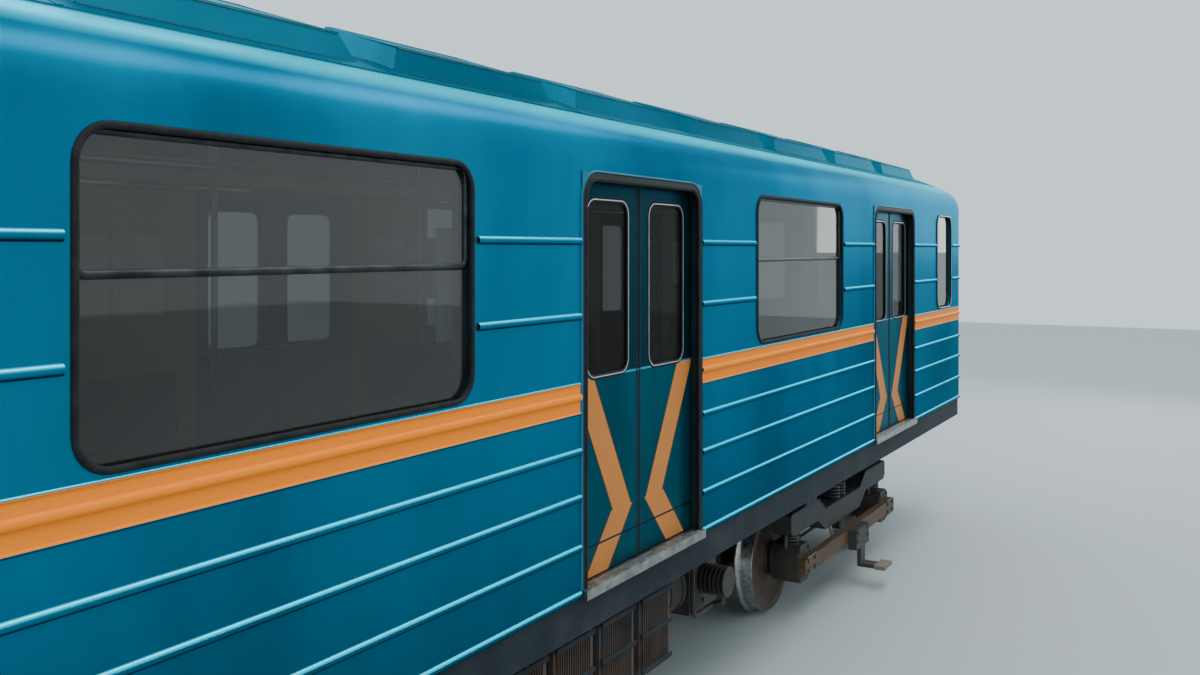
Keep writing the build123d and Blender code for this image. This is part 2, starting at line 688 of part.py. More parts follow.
def underframe():
    """Side sills, headstocks, bolster beams with their centre pins, cross members and jacking pads."""
    floor_bottom = FLOOR_TOP - FLOOR_THICKNESS
    sill_y = (HALF_WIDTH - SIDE_SILL_RECESS - SIDE_SILL_WIDTH, HALF_WIDTH - SIDE_SILL_RECESS)
    tip = HALF_LENGTH - SIDE_SILL_RECESS
    pieces = []
    for _, side in SIDES:
        low = block((-tip, tip), sill_y, (SILL_BOTTOM, floor_bottom))
        step = block((-tip, tip), (INNER_Y, sill_y[1]), (floor_bottom, SKIN_BOTTOM))
        pieces += [mirrored(low, side), mirrored(step, side)]
        middle = (sill_y[0] + sill_y[1]) / 2
        for x in (JACK_PAD_X, -JACK_PAD_X):
            pad = Pos(x, middle, SILL_BOTTOM - JACK_PAD[2] / 2) * Box(*JACK_PAD)
            pieces.append(mirrored(pad, side))
    across = (-sill_y[0] - OVERRUN, sill_y[0] + OVERRUN)
    member_z = (MEMBER_BOTTOM, floor_bottom)
    for i in range(CROSS_MEMBER_COUNT):
        x = (i - (CROSS_MEMBER_COUNT - 1) / 2) * CROSS_MEMBER_PITCH
        pieces.append(block((x - CROSS_MEMBER_WIDTH / 2, x + CROSS_MEMBER_WIDTH / 2), across, member_z))
    headstock = block((tip - HEADSTOCK_WIDTH, tip), across, (SILL_BOTTOM, floor_bottom))
    bolster = block(BODY_BOLSTER_X, across, (SILL_BOTTOM, floor_bottom))
    plate_middle = SILL_BOTTOM - BODY_PLATE_HEIGHT / 2
    plate = bar(BOGIE_X, 0, plate_middle, CENTRE_PLATE_RADIUS, BODY_PLATE_HEIGHT, "Z")
    pin_length = SILL_BOTTOM - BOLSTER_BOTTOM
    pin = bar(BOGIE_X, 0, SILL_BOTTOM - pin_length / 2, CENTRE_PIN_RADIUS, pin_length, "Z")
    for end in (1, -1):
        pieces += [turned(piece, end) for piece in (headstock, bolster, plate, pin)]
    return joined(pieces)


def draft_gear(end):
    """Two draft sills between bolster beam and headstock, with the lugs and pin of the coupler."""
    sill_x = (BODY_BOLSTER_X[1], HALF_LENGTH - SIDE_SILL_RECESS - HEADSTOCK_WIDTH)
    pieces = []
    for y in (-CENTRE_SILL_SPACING / 2, CENTRE_SILL_SPACING / 2):
        width = (y - CENTRE_SILL_WIDTH / 2, y + CENTRE_SILL_WIDTH / 2)
        pieces.append(block(sill_x, width, (SILL_BOTTOM, FLOOR_TOP - FLOOR_THICKNESS)))
    half_eye = COUPLER_SHANK_RADIUS + COUPLER_FORK_GAP
    lug = (COUPLER_PIVOT_X - FORK_BACK, COUPLER_PIVOT_X + FORK_FRONT)
    reach = (CENTRE_SILL_SPACING + CENTRE_SILL_WIDTH) / 2
    fork_bottom = COUPLER_HEIGHT - half_eye - FORK_LUG
    pieces.append(block(lug, (-reach, reach), (fork_bottom, COUPLER_HEIGHT - half_eye)))
    pieces.append(block(lug, (-reach, reach), (COUPLER_HEIGHT + half_eye, SILL_BOTTOM + OVERRUN)))
    pieces.append(block((lug[0], lug[0] + FORK_LUG), (-reach, reach), (fork_bottom, SILL_BOTTOM + OVERRUN)))
    pieces.append(bar(COUPLER_PIVOT_X, 0, COUPLER_HEIGHT, COUPLER_PIN_RADIUS, 2 * (half_eye + OVERRUN), "Z"))
    return turned(joined(pieces), end)


# Couplers
def coupler(end):
    """Automatic coupler: eye, shank, and a flat-faced head with a guide cone and a pocket."""
    length, width, height = COUPLER_HEAD
    bottom = COUPLER_HEIGHT - height / 2
    eye_radius = COUPLER_PIN_RADIUS + COUPLER_EYE_WALL
    eye = bar(COUPLER_PIVOT_X, 0, COUPLER_HEIGHT, eye_radius, 2 * COUPLER_SHANK_RADIUS, "Z")
    start = COUPLER_PIVOT_X + COUPLER_PIN_RADIUS + COUPLER_EYE_WALL / 2
    stop = COUPLER_FACE_X - length + OVERRUN
    middle = (start + stop) / 2
    waist = COUPLER_SHANK_RADIUS - COUPLER_SHANK_WAIST
    shank = bar(middle, 0, COUPLER_HEIGHT, waist, stop - start, "X", SPRING_FLAT_COUNT)
    head_x = (COUPLER_FACE_X - length, COUPLER_FACE_X)
    head = block(head_x, (-width / 2, width / 2), (bottom, bottom + height))
    head = chamfer(head.faces().sort_by(Axis.X)[0].edges(), COUPLER_HEAD_CUT)
    radius = COUPLER_CONE_RADIUS + COUPLER_POCKET_GAP
    depth = 2 * COUPLER_CONE_LENGTH
    head -= bar(COUPLER_FACE_X, width / 4, COUPLER_HEIGHT, radius, depth, "X", SPRING_FLAT_COUNT)
    turn = 180 / SPRING_FLAT_COUNT
    cone = RegularPolygon(COUPLER_CONE_RADIUS, SPRING_FLAT_COUNT, major_radius=False, rotation=turn)
    cone = extrude(cone, COUPLER_CONE_LENGTH, taper=COUPLER_CONE_TAPER)
    cone = Pos(COUPLER_FACE_X - OVERRUN, -width / 4, COUPLER_HEIGHT) * Rot(0, 90, 0) * cone
    half_block = AIR_BLOCK / 2
    air_x = (COUPLER_FACE_X - AIR_BLOCK, COUPLER_FACE_X)
    air_block = block(air_x, (-half_block, half_block), (bottom - half_block, bottom + OVERRUN))
    bore_radius = COUPLER_PIN_RADIUS + BORE_GAP
    bore = bar(COUPLER_PIVOT_X, 0, COUPLER_HEIGHT, bore_radius, 4 * COUPLER_SHANK_RADIUS, "Z")
    return turned(joined([eye, shank, head, cone, air_block]) - bore, end)


# Bogies, drawn about their own centre at X = 0
def bogie_frame():
    """H-shaped frame: two side beams that dip in the middle, joined by two cross beams."""
    end_x = WHEELBASE / 2 + AXLE_BOX_LENGTH / 2 + BEAM_OVERHANG
    knee = CROSS_BEAM_X + CROSS_BEAM_LENGTH / 2 + BEAM_OVERHANG
    slope = knee + BEAM_SLOPE
    low = BEAM_END_BOTTOM
    high = BEAM_END_BOTTOM + BEAM_DEPTH
    half = (
        (knee, BEAM_MID_TOP),
        (slope, high),
        (end_x - BEAM_OVERHANG, high),
        (end_x, high - BEAM_OVERHANG / 2),
        (end_x, low + BEAM_OVERHANG),
        (end_x - BEAM_OVERHANG, low),
        (slope, low),
        (knee, BEAM_MID_TOP - BEAM_DEPTH),
    )
    outline = Polyline(*half, *[(-x, z) for x, z in reversed(half)], close=True)
    beam = extrude(Plane.XZ * make_face(outline), BEAM_WIDTH)
    pieces = [Pos(0, y + BEAM_WIDTH / 2, 0) * beam for y in (JOURNAL_CENTRE, -JOURNAL_CENTRE)]
    reach = JOURNAL_CENTRE - BEAM_WIDTH / 2 + OVERRUN
    cross_z = (BEAM_MID_TOP - BEAM_DEPTH + CROSS_BEAM_INSET, BEAM_MID_TOP - CROSS_BEAM_INSET)
    for x in (CROSS_BEAM_X, -CROSS_BEAM_X):
        pieces.append(block((x - CROSS_BEAM_LENGTH / 2, x + CROSS_BEAM_LENGTH / 2), (-reach, reach), cross_z))
    return joined(pieces)


def bogie_bolster():
    """Cross beam under the body that swings with the bogie, with the bored centre plate on top."""
    reach = JOURNAL_CENTRE + BEAM_WIDTH / 2 - CROSS_BEAM_INSET
    top = BOLSTER_TOP - CENTRE_PLATE_HEIGHT
    beam = block((-BOLSTER_LENGTH / 2, BOLSTER_LENGTH / 2), (-reach, reach), (BOLSTER_BOTTOM, top))
    plate = bar(0, 0, (top + BOLSTER_TOP) / 2, CENTRE_PLATE_RADIUS, CENTRE_PLATE_HEIGHT, "Z")
    bore = bar(0, 0, BOLSTER_TOP, CENTRE_PIN_RADIUS + BORE_GAP, 4 * BOLSTER_HEIGHT, "Z")
    return joined([beam, plate]) - bore


def suspension():
    """Axle boxes with their coil springs, and the two groups of bolster springs."""
    solids = []
    low = AXLE_Z - AXLE_BOX_HEIGHT / 2
    high = AXLE_Z + AXLE_BOX_HEIGHT / 2
    for x in (WHEELBASE / 2, -WHEELBASE / 2):
        for side in (1, -1):
            y = (JOURNAL_CENTRE - AXLE_BOX_WIDTH / 2, JOURNAL_CENTRE + AXLE_BOX_WIDTH / 2)
            box = block((x - AXLE_BOX_LENGTH / 2, x + AXLE_BOX_LENGTH / 2), y, (low, high))
            box = chamfer(box.edges().filter_by(Axis.Y), AXLE_BOX_CUT)
            spring_z = (high, BEAM_END_BOTTOM)
            tall = spring_z[1] - spring_z[0]
            spring = bar(x, JOURNAL_CENTRE, sum(spring_z) / 2, SPRING_RADIUS, tall, "Z", SPRING_FLAT_COUNT)
            depth = AXLE_BOX_WIDTH - BOX_COVER
            bore_y = y[0] + depth / 2 - OVERRUN
            bore = bar(x, bore_y, AXLE_Z, AXLE_RADIUS + BORE_GAP, depth + 2 * OVERRUN, "Y")
            solids.append(mirrored(joined([box, spring]) - bore, side))
    tall = BOLSTER_BOTTOM - BEAM_MID_TOP
    middle = (BOLSTER_BOTTOM + BEAM_MID_TOP) / 2
    for x in (-BOLSTER_LENGTH / 4, BOLSTER_LENGTH / 4):
        spring = bar(x, JOURNAL_CENTRE, middle, SPRING_RADIUS, tall, "Z", SPRING_FLAT_COUNT)
        solids += [spring, mirrored(spring, -1)]
    return Compound(solids)


def traction_motors():
    """Two motors, each with its gear case hung on an axle."""
    solids = []
    motor_x = WHEELBASE / 2 - AXLE_RADIUS - SWING_SPACE - MOTOR_RADIUS
    motor_y = GEAR_CASE_Y - GEAR_CASE_WIDTH / 2 - MOTOR_LENGTH / 2 + OVERRUN
    for turn in (0, 180):
        motor = bar(motor_x, motor_y, AXLE_Z, MOTOR_RADIUS, MOTOR_LENGTH, "Y", SPRING_FLAT_COUNT)
        middle = (WHEELBASE / 2, GEAR_CASE_Y, AXLE_Z)
        case = bar(*middle, GEAR_CASE_RADIUS, GEAR_CASE_WIDTH, "Y", SPRING_FLAT_COUNT)
        case_y = (GEAR_CASE_Y - GEAR_CASE_WIDTH / 2, GEAR_CASE_Y + GEAR_CASE_WIDTH / 2)
        neck = block((motor_x, WHEELBASE / 2), case_y, (AXLE_Z - GEAR_NECK / 2, AXLE_Z + GEAR_NECK / 2))
        nose_x = (CROSS_BEAM_X + CROSS_BEAM_LENGTH / 2, motor_x)
        nose_y = (motor_y - MOTOR_NOSE / 2, motor_y + MOTOR_NOSE / 2)
        nose_z = AXLE_Z + GEAR_NECK / 2
        nose = block(nose_x, nose_y, (nose_z - MOTOR_NOSE / 4, nose_z + MOTOR_NOSE / 4))
        whole = joined([motor, case, neck, nose])
        whole -= bar(*middle, AXLE_RADIUS + BORE_GAP, 2 * GEAR_CASE_WIDTH, "Y")
        solids.append(Rot(0, 0, turn) * whole)
    return Compound(solids)


def collector_gear():
    """A beam between the axle boxes on each side, which carries the third-rail shoe."""
    solids = []
    beam_y = (JOURNAL_CENTRE + AXLE_BOX_WIDTH / 2, JOURNAL_CENTRE + AXLE_BOX_WIDTH / 2 + COLLECTOR_BEAM[0])
    reach = WHEELBASE / 2 + AXLE_BOX_LENGTH / 2
    beam_z = (AXLE_Z - COLLECTOR_BEAM[1] / 2, AXLE_Z + COLLECTOR_BEAM[1] / 2)
    mount_length, mount_width, mount_height = COLLECTOR_MOUNT
    arm_x = (-COLLECTOR_ARM_WIDTH / 2, COLLECTOR_ARM_WIDTH / 2)
    arm_z = (COLLECTOR_HEIGHT - COLLECTOR_ARM, COLLECTOR_HEIGHT)
    shoe_x = (-COLLECTOR_SHOE[0] / 2, COLLECTOR_SHOE[0] / 2)
    shoe_y = (COLLECTOR_REACH - COLLECTOR_SHOE[1], COLLECTOR_REACH)
    mount_y = (beam_y[1] - OVERRUN, beam_y[1] + mount_width)
    for side in (1, -1):
        beam = block((-reach, reach), beam_y, beam_z)
        mount = block((-mount_length / 2, mount_length / 2), mount_y, (beam_z[1] - mount_height, beam_z[1]))
        drop = block(arm_x, (mount_y[1] - COLLECTOR_ARM, mount_y[1]), (arm_z[0], AXLE_Z))
        arm = block(arm_x, (mount_y[1] - OVERRUN, shoe_y[0] + OVERRUN), arm_z)
        shoe = block(shoe_x, shoe_y, (arm_z[0] + COLLECTOR_SHOE_RAISE, arm_z[1] + COLLECTOR_SHOE_RAISE))
        solids.append(mirrored(joined([beam, mount, drop, arm, shoe]), side))
    return Compound(solids)


def wheel_disc(y, radius, width, taper=0):
    """One course of a wheel along Y from y, with a level flat at the bottom; taper is in degrees."""
    outline = RegularPolygon(radius, WHEEL_FLAT_COUNT, major_radius=False, rotation=180 / WHEEL_FLAT_COUNT)
    return Pos(0, y, 0) * Rot(-90, 0, 0) * extrude(outline, width, taper=taper)


def wheelset():
    """Axle with two flanged wheels, each with a coned tread, a rim, a recessed web and a hub."""
    back = GAUGE / 2 - WHEEL_BACK
    root = back + FLANGE_WIDTH
    front = back + WHEEL_WIDTH
    half_flange = FLANGE_WIDTH / 2
    slope = math.degrees(math.atan(FLANGE_DEPTH / half_flange))
    cone = math.degrees(math.atan(TREAD_FALL / (front - root)))
    tip = wheel_disc(back, WHEEL_RADIUS + FLANGE_DEPTH, half_flange)
    flank = wheel_disc(back + half_flange, WHEEL_RADIUS + FLANGE_DEPTH, half_flange, slope)
    tread = wheel_disc(root, WHEEL_RADIUS, front - root, cone)
    recess = wheel_disc(front - WEB_RECESS, WHEEL_RADIUS - RIM_THICKNESS, WEB_RECESS + OVERRUN)
    hub = wheel_disc(front - WEB_RECESS - OVERRUN, HUB_RADIUS, WEB_RECESS + OVERRUN + HUB_PROUD)
    wheel = joined([tip, flank, tread]) - recess + hub
    journal_end = JOURNAL_CENTRE + AXLE_BOX_WIDTH / 2 - BOX_COVER - JOURNAL_SPARE
    axle = bar(0, 0, 0, AXLE_RADIUS, 2 * journal_end, "Y")
    return joined([axle, wheel, mirrored(wheel, -1)])


def placed_wheelset(x):
    return Pos(x, 0, AXLE_Z) * wheelset()


# Saloon fittings
def bench_spans():
    """Start and stop of each bench along X."""
    spans = []
    for left, right in zip(DOOR_XS[:-1], DOOR_XS[1:]):
        spans.append((left + WALL_CUT + BENCH_TO_DOOR, right - WALL_CUT - BENCH_TO_DOOR))
    inner = DOOR_XS[-1] + WALL_CUT + BENCH_TO_DOOR
    spans.append((inner, SALOON_X - BENCH_END_GAP))
    spans.append((BENCH_END_GAP - SALOON_X, -inner))
    return spans


def bench_frames():
    """Closed plinths under the long benches."""
    y = (INNER_Y - BENCH_DEPTH + BENCH_NOSE, INNER_Y)
    plinths = [block(span, y, (FLOOR_TOP, FLOOR_TOP + BENCH_HEIGHT)) for span in bench_spans()]
    return Compound([mirrored(plinth, side) for _, side in SIDES for plinth in plinths])


def bench_cushions():
    """Seat squabs with their backrests, one L-shaped piece for each bench."""
    seat = FLOOR_TOP + BENCH_HEIGHT
    squab_top = seat + CUSHION_THICKNESS
    profile = Polyline(
        (INNER_Y, seat),
        (INNER_Y, squab_top + BACKREST_HEIGHT),
        (INNER_Y - BACKREST_THICKNESS / 2, squab_top + BACKREST_HEIGHT),
        (INNER_Y - BACKREST_THICKNESS, squab_top),
        (INNER_Y - BENCH_DEPTH + BENCH_NOSE / 2, squab_top),
        (INNER_Y - BENCH_DEPTH, squab_top - BENCH_NOSE / 2),
        (INNER_Y - BENCH_DEPTH, seat),
        close=True,
    )
    face = Plane.YZ * make_face(profile)
    solids = []
    for _, side in SIDES:
        for start, stop in bench_spans():
            solids.append(mirrored(Pos(start, 0, 0) * extrude(face, stop - start), side))
    return Compound(solids)


def handrails():
    """Over each bench a ceiling rail on two hangers, and a post at each of its ends that faces a doorway."""
    rail_z = FLOOR_TOP + GRAB_RAIL_HEIGHT
    post_y = INNER_Y - BENCH_DEPTH + POST_INSET
    seat = FLOOR_TOP + BENCH_HEIGHT + CUSHION_THICKNESS
    hanger_top = ceiling_height(GRAB_RAIL_Y + GRAB_RADIUS) - CEILING_GAP
    hanger_middle = (rail_z + hanger_top) / 2
    post_top = ceiling_height(post_y + GRAB_RADIUS) - CEILING_GAP
    solids = []
    for start, stop in bench_spans():
        ends = [x for x in (start + POST_INSET, stop - POST_INSET) if abs(x) < SALOON_X - 2 * POST_INSET]
        rail = bar((start + stop) / 2, GRAB_RAIL_Y, rail_z, GRAB_RADIUS, stop - start, "X", ROD_FLAT_COUNT)
        hangers = []
        for x in (start + HANGER_INSET, stop - HANGER_INSET):
            tall = hanger_top - rail_z
            hangers.append(bar(x, GRAB_RAIL_Y, hanger_middle, HANGER_RADIUS, tall, "Z", ROD_FLAT_COUNT))
        solids.append(joined([rail, *hangers]))
        for x in ends:
            tall = post_top - seat
            solids.append(bar(x, post_y, (seat + post_top) / 2, GRAB_RADIUS, tall, "Z", ROD_FLAT_COUNT))
    return Compound([mirrored(solid, side) for _, side in SIDES for solid in solids])


def ceiling_lamps():
    """One row of opal lamp covers along the middle of the ceiling."""
    length, width, depth = LAMP_SIZE
    pitch = 2 * (SALOON_X - 2 * WALL) / LAMP_COUNT
    top = ceiling_height(0)
    under = Pos(0, 0, CROWN_CENTRE) * Rot(0, 90, 0) * Cylinder(CEILING_RADIUS, 2 * length)
    lamp = block((-length / 2, length / 2), (-width / 2, width / 2), (top - depth, top + OVERRUN)) & under
    return Compound([Pos((i - (LAMP_COUNT - 1) / 2) * pitch, 0, 0) * lamp for i in range(LAMP_COUNT)])


# Equipment hung from the cross members between the bogies
def member_x(place):
    """A place along the car, counted in cross members from the middle one."""
    return place * CROSS_MEMBER_PITCH


def floor_cases():
    """Control-gear cases with bolted lids that face outwards."""
    solids = []
    for _, side, place, length, inset, width, depth in CASES:
        x = (member_x(place - length / 2), member_x(place + length / 2))
        low = SILL_BOTTOM - depth
        face = HALF_WIDTH - inset
        case = block(x, (face - width, face), (low, MEMBER_BOTTOM))
        lid_x = (x[0] + LID_MARGIN, x[1] - LID_MARGIN)
        lid = block(lid_x, (face - OVERRUN, face + LID_PROUD), (low + LID_MARGIN, SILL_BOTTOM - LID_MARGIN))
        solids.append(mirrored(joined([case, lid]), side))
    return Compound(solids)


def resistor_bank():
    """Starting resistors: a row of open boxes under one carrying frame."""
    start = member_x(RESISTOR_PLACE - RESISTOR_LENGTH / 2)
    length = member_x(RESISTOR_LENGTH)
    outer = RESISTOR_INSET - HALF_WIDTH
    y = (outer, outer + RESISTOR_WIDTH)
    low = SILL_BOTTOM - RESISTOR_DEPTH
    pieces = [block((start, start + length), y, (MEMBER_BOTTOM - RESISTOR_FRAME, MEMBER_BOTTOM))]
    pitch = (length + RESISTOR_SPACE) / RESISTOR_BOXES
    for i in range(RESISTOR_BOXES):
        x = (start + i * pitch, start + (i + 1) * pitch - RESISTOR_SPACE)
        pieces.append(block(x, y, (low, MEMBER_BOTTOM - RESISTOR_FRAME + OVERRUN)))
    return joined(pieces)


def air_reservoirs():
    """Two air tanks, each held by two straps under neighbouring cross members."""
    solids = []
    for place, length, inset, radius in RESERVOIRS:
        y = inset - HALF_WIDTH
        z = MEMBER_BOTTOM - radius - STRAP_DROP
        tank = bar(member_x(place), y, z, radius, member_x(length), "X")
        straps = []
        for x in (member_x(place - 0.5), member_x(place + 0.5)):
            strap_x = (x - STRAP_WIDTH / 2, x + STRAP_WIDTH / 2)
            straps.append(block(strap_x, (y - STRAP_WIDTH / 2, y + STRAP_WIDTH / 2), (z, MEMBER_BOTTOM)))
        solids.append(joined([tank, *straps]))
    return Compound(solids)


def compressor():
    """Motor compressor set: a motor, a crankcase and two cylinder heads under a carrying frame."""
    middle = member_x(COMPRESSOR_PLACE)
    centre_y = COMPRESSOR_INSET - HALF_WIDTH
    length, width, height = CRANKCASE_SIZE
    z = SILL_BOTTOM - COMPRESSOR_DROP
    crank_x = (middle, middle + length)
    motor_x = middle - COMPRESSOR_MOTOR_LENGTH / 2 + OVERRUN
    radius = COMPRESSOR_MOTOR_RADIUS
    motor = bar(motor_x, centre_y, z, radius, COMPRESSOR_MOTOR_LENGTH, "X", SPRING_FLAT_COUNT)
    side_y = (centre_y - width / 2, centre_y + width / 2)
    crankcase = block(crank_x, side_y, (z - radius, z - radius + height))
    span = width + 2 * CYLINDER_HEAD_LENGTH
    heads = bar(sum(crank_x) / 2, centre_y, z, CYLINDER_HEAD_RADIUS, span, "Y", SPRING_FLAT_COUNT)
    crank_top = z - radius + height
    frame_z = (crank_top - OVERRUN, crank_top + COMPRESSOR_FRAME)
    hangers = (member_x(COMPRESSOR_PLACE - 0.5), member_x(COMPRESSOR_PLACE + 0.5))
    rear, front = COMPRESSOR_OVERHANGS
    frame = block((hangers[0] - rear, hangers[1] + front), side_y, frame_z)
    saddle_x = (motor_x - STRAP_WIDTH, motor_x + STRAP_WIDTH)
    saddle_y = (centre_y - STRAP_WIDTH, centre_y + STRAP_WIDTH)
    pieces = [motor, crankcase, heads, frame, block(saddle_x, saddle_y, (z, frame_z[1]))]
    for x in hangers:
        hanger_x = (x - STRAP_WIDTH / 2, x + STRAP_WIDTH / 2)
        pieces.append(block(hanger_x, saddle_y, (frame_z[0], MEMBER_BOTTOM)))
    return joined(pieces)


def write(name, shape):
    export_step(shape, f"parts/{name}.step")


os.makedirs("parts", exist_ok=True)
for side_name, side_sign in SIDES:
    write(f"side_wall_{side_name}", side_wall(side_sign))
    write(f"cant_rail_{side_name}", cant_rail(side_sign))
    for door_number, door_x in enumerate(DOOR_XS, 1):
        for leaf_name, leaf_direction in ENDS:
            leaf_node = f"leaf_{side_name}_{door_number}_{leaf_name}"
            write(leaf_node, door_leaf(door_x, side_sign, leaf_direction))
for end_name, end_sign in ENDS:
    write(f"end_wall_{end_name}", end_wall(end_sign))
    write(f"end_door_{end_name}", end_door(end_sign))
    write(f"draft_gear_{end_name}", draft_gear(end_sign))
    write(f"coupler_{end_name}", coupler(end_sign))
    for piece_name, piece in (
        ("bogie_frame", bogie_frame()),
        ("bogie_bolster", bogie_bolster()),
        ("suspension", suspension()),
        ("traction_motors", traction_motors()),
        ("collector_gear", collector_gear()),
    ):
        write(f"{piece_name}_{end_name}", Pos(end_sign * BOGIE_X, 0, 0) * piece)
    for axle_name, axle_side in (("outer", 1), ("inner", -1)):
        axle_x = end_sign * (BOGIE_X + axle_side * WHEELBASE / 2)
        write(f"wheelset_{end_name}_{axle_name}", placed_wheelset(axle_x))
for body_name, body_piece in (
    ("roof", roof()),
    ("roof_vents", roof_vents()),
    ("window_panes", window_panes()),
    ("sash_bars", sash_bars()),
    ("door_portals", door_portals()),
    ("door_sills", door_sills()),
    ("floor", floor()),
    ("underframe", underframe()),
    ("bench_frames", bench_frames()),
    ("bench_cushions", bench_cushions()),
    ("handrails", handrails()),
    ("ceiling_lamps", ceiling_lamps()),
    ("floor_cases", floor_cases()),
    ("resistor_bank", resistor_bank()),
    ("air_reservoirs", air_reservoirs()),
    ("compressor", compressor()),
):
    write(body_name, body_piece)
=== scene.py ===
import math

import bmesh
import bpy
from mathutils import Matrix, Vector


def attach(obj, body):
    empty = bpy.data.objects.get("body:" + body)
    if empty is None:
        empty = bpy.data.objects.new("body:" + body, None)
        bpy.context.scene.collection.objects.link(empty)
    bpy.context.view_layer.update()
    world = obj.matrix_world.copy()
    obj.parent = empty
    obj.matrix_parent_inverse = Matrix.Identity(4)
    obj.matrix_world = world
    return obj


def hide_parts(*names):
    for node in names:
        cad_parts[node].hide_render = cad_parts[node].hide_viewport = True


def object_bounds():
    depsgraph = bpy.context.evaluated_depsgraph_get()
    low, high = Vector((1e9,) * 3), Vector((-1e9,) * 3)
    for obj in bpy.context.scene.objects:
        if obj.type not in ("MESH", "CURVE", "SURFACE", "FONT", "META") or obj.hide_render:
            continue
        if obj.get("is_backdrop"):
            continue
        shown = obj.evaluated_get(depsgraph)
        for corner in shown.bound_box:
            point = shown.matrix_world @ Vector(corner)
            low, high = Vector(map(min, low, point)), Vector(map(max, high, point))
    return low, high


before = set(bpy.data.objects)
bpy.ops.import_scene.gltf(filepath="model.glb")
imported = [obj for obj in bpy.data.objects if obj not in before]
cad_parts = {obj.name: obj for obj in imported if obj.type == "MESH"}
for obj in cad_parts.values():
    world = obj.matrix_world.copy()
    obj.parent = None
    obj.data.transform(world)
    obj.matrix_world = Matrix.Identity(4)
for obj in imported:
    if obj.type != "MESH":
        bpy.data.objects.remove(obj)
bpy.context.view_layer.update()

# The standpoint: level, from the platform at standing height, looking along the car's right side
# towards its front end, with the horizon a little above the middle of the picture.
HEADING = math.radians(30.35)
EYE = (-2.57, -3.92, 2.763)
LENS = 32.76
HORIZON_SHIFT = -0.0737
camera = bpy.data.objects.new("camera", bpy.data.cameras.new("camera"))
camera.data.sensor_width = 36
camera.data.lens = LENS
camera.data.shift_y = HORIZON_SHIFT
camera.location = EYE
camera.rotation_euler = (math.pi / 2, 0, HEADING - math.pi / 2)
bpy.context.scene.collection.objects.link(camera)
bpy.context.scene.camera = camera

# The room: a plain pale floor under the wheels, pale air that grows brighter overhead as under a cloudy
# sky, and wide soft lamps above each side and beyond each end, so that every face has its own light.
FLOOR_REACH = 40
FLOOR_COLOUR = (0.40, 0.42, 0.43, 1)
AIR_LOW = (0.60, 0.71, 0.74, 1)
AIR_HIGH = (0.80, 0.97, 1.00, 1)
AIR_RISE = (0.20, 0.85)
AIR_STRENGTH = 1.5
LAMP_AIM_Z = 1.6
# Columns: name, where it hangs, its width and depth in metres, its power in watts
LAMPS = (
    ("platform_light", (3, -4.5, 11.5), (26, 3.5), 950),
    ("far_side_light", (-2, 7, 11), (24, 4.5), 750),
    ("front_light", (19, -3, 5), (6, 5), 220),
    ("rear_light", (-19, 3, 5), (6, 5), 220),
)


def step(tree, kind, inputs=None, **settings):
    """One node of a tree with its settings, and its inputs as values or as other nodes' outputs."""
    made = tree.nodes.new(kind)
    for name, value in settings.items():
        setattr(made, name, value)
    for name, value in (inputs or {}).items():
        if isinstance(value, bpy.types.NodeSocket):
            tree.links.new(value, made.inputs[name])
        else:
            made.inputs[name].default_value = value
    return made


def node(owner, kind, inputs=None, **settings):
    """One shader node of a material or of the world."""
    return step(owner.node_tree, "ShaderNode" + kind, inputs, **settings)


floor_mesh = bpy.data.meshes.new("room_floor")
floor_corners = [(x * FLOOR_REACH, y * FLOOR_REACH, 0) for x, y in ((-1, -1), (1, -1), (1, 1), (-1, 1))]
floor_mesh.from_pydata(floor_corners, [], [(0, 1, 2, 3)])
room_floor = bpy.data.objects.new("room_floor", floor_mesh)
bpy.context.scene.collection.objects.link(room_floor)
floor_finish = bpy.data.materials.new("pale_floor")
floor_finish.use_nodes = True
floor_finish.node_tree.nodes["Principled BSDF"].inputs["Base Color"].default_value = FLOOR_COLOUR
floor_finish.node_tree.nodes["Principled BSDF"].inputs["Roughness"].default_value = 0.7
floor_mesh.materials.append(floor_finish)
room_floor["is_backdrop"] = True
world = bpy.data.worlds.new("pale_air")
world.use_nodes = True
air_height = node(world, "SeparateXYZ", {"Vector": node(world, "TexCoord").outputs["Generated"]}).outputs["Z"]
air_share = node(
    world, "MapRange", {"Value": air_height, "From Min": AIR_RISE[0], "From Max": AIR_RISE[1]},
    interpolation_type="SMOOTHSTEP",
).outputs["Result"]
air_colour = node(world, "MixRGB", {"Fac": air_share, "Color1": AIR_LOW, "Color2": AIR_HIGH}).outputs["Color"]
air = world.node_tree.nodes["Background"].inputs
world.node_tree.links.new(air_colour, air["Color"])
air["Strength"].default_value = AIR_STRENGTH
bpy.context.scene.world = world
for lamp_name, place, (width, depth), power in LAMPS:
    lamp = bpy.data.objects.new(lamp_name, bpy.data.lights.new(lamp_name, "AREA"))
    lamp.data.shape = "RECTANGLE"
    lamp.data.size = width
    lamp.data.size_y = depth
    lamp.data.energy = power
    lamp.location = place
    lamp.rotation_euler = (Vector((place[0] * 0.6, 0, LAMP_AIM_Z)) - Vector(place)).to_track_quat("-Z", "Y").to_euler()
    bpy.context.scene.collection.objects.link(lamp)

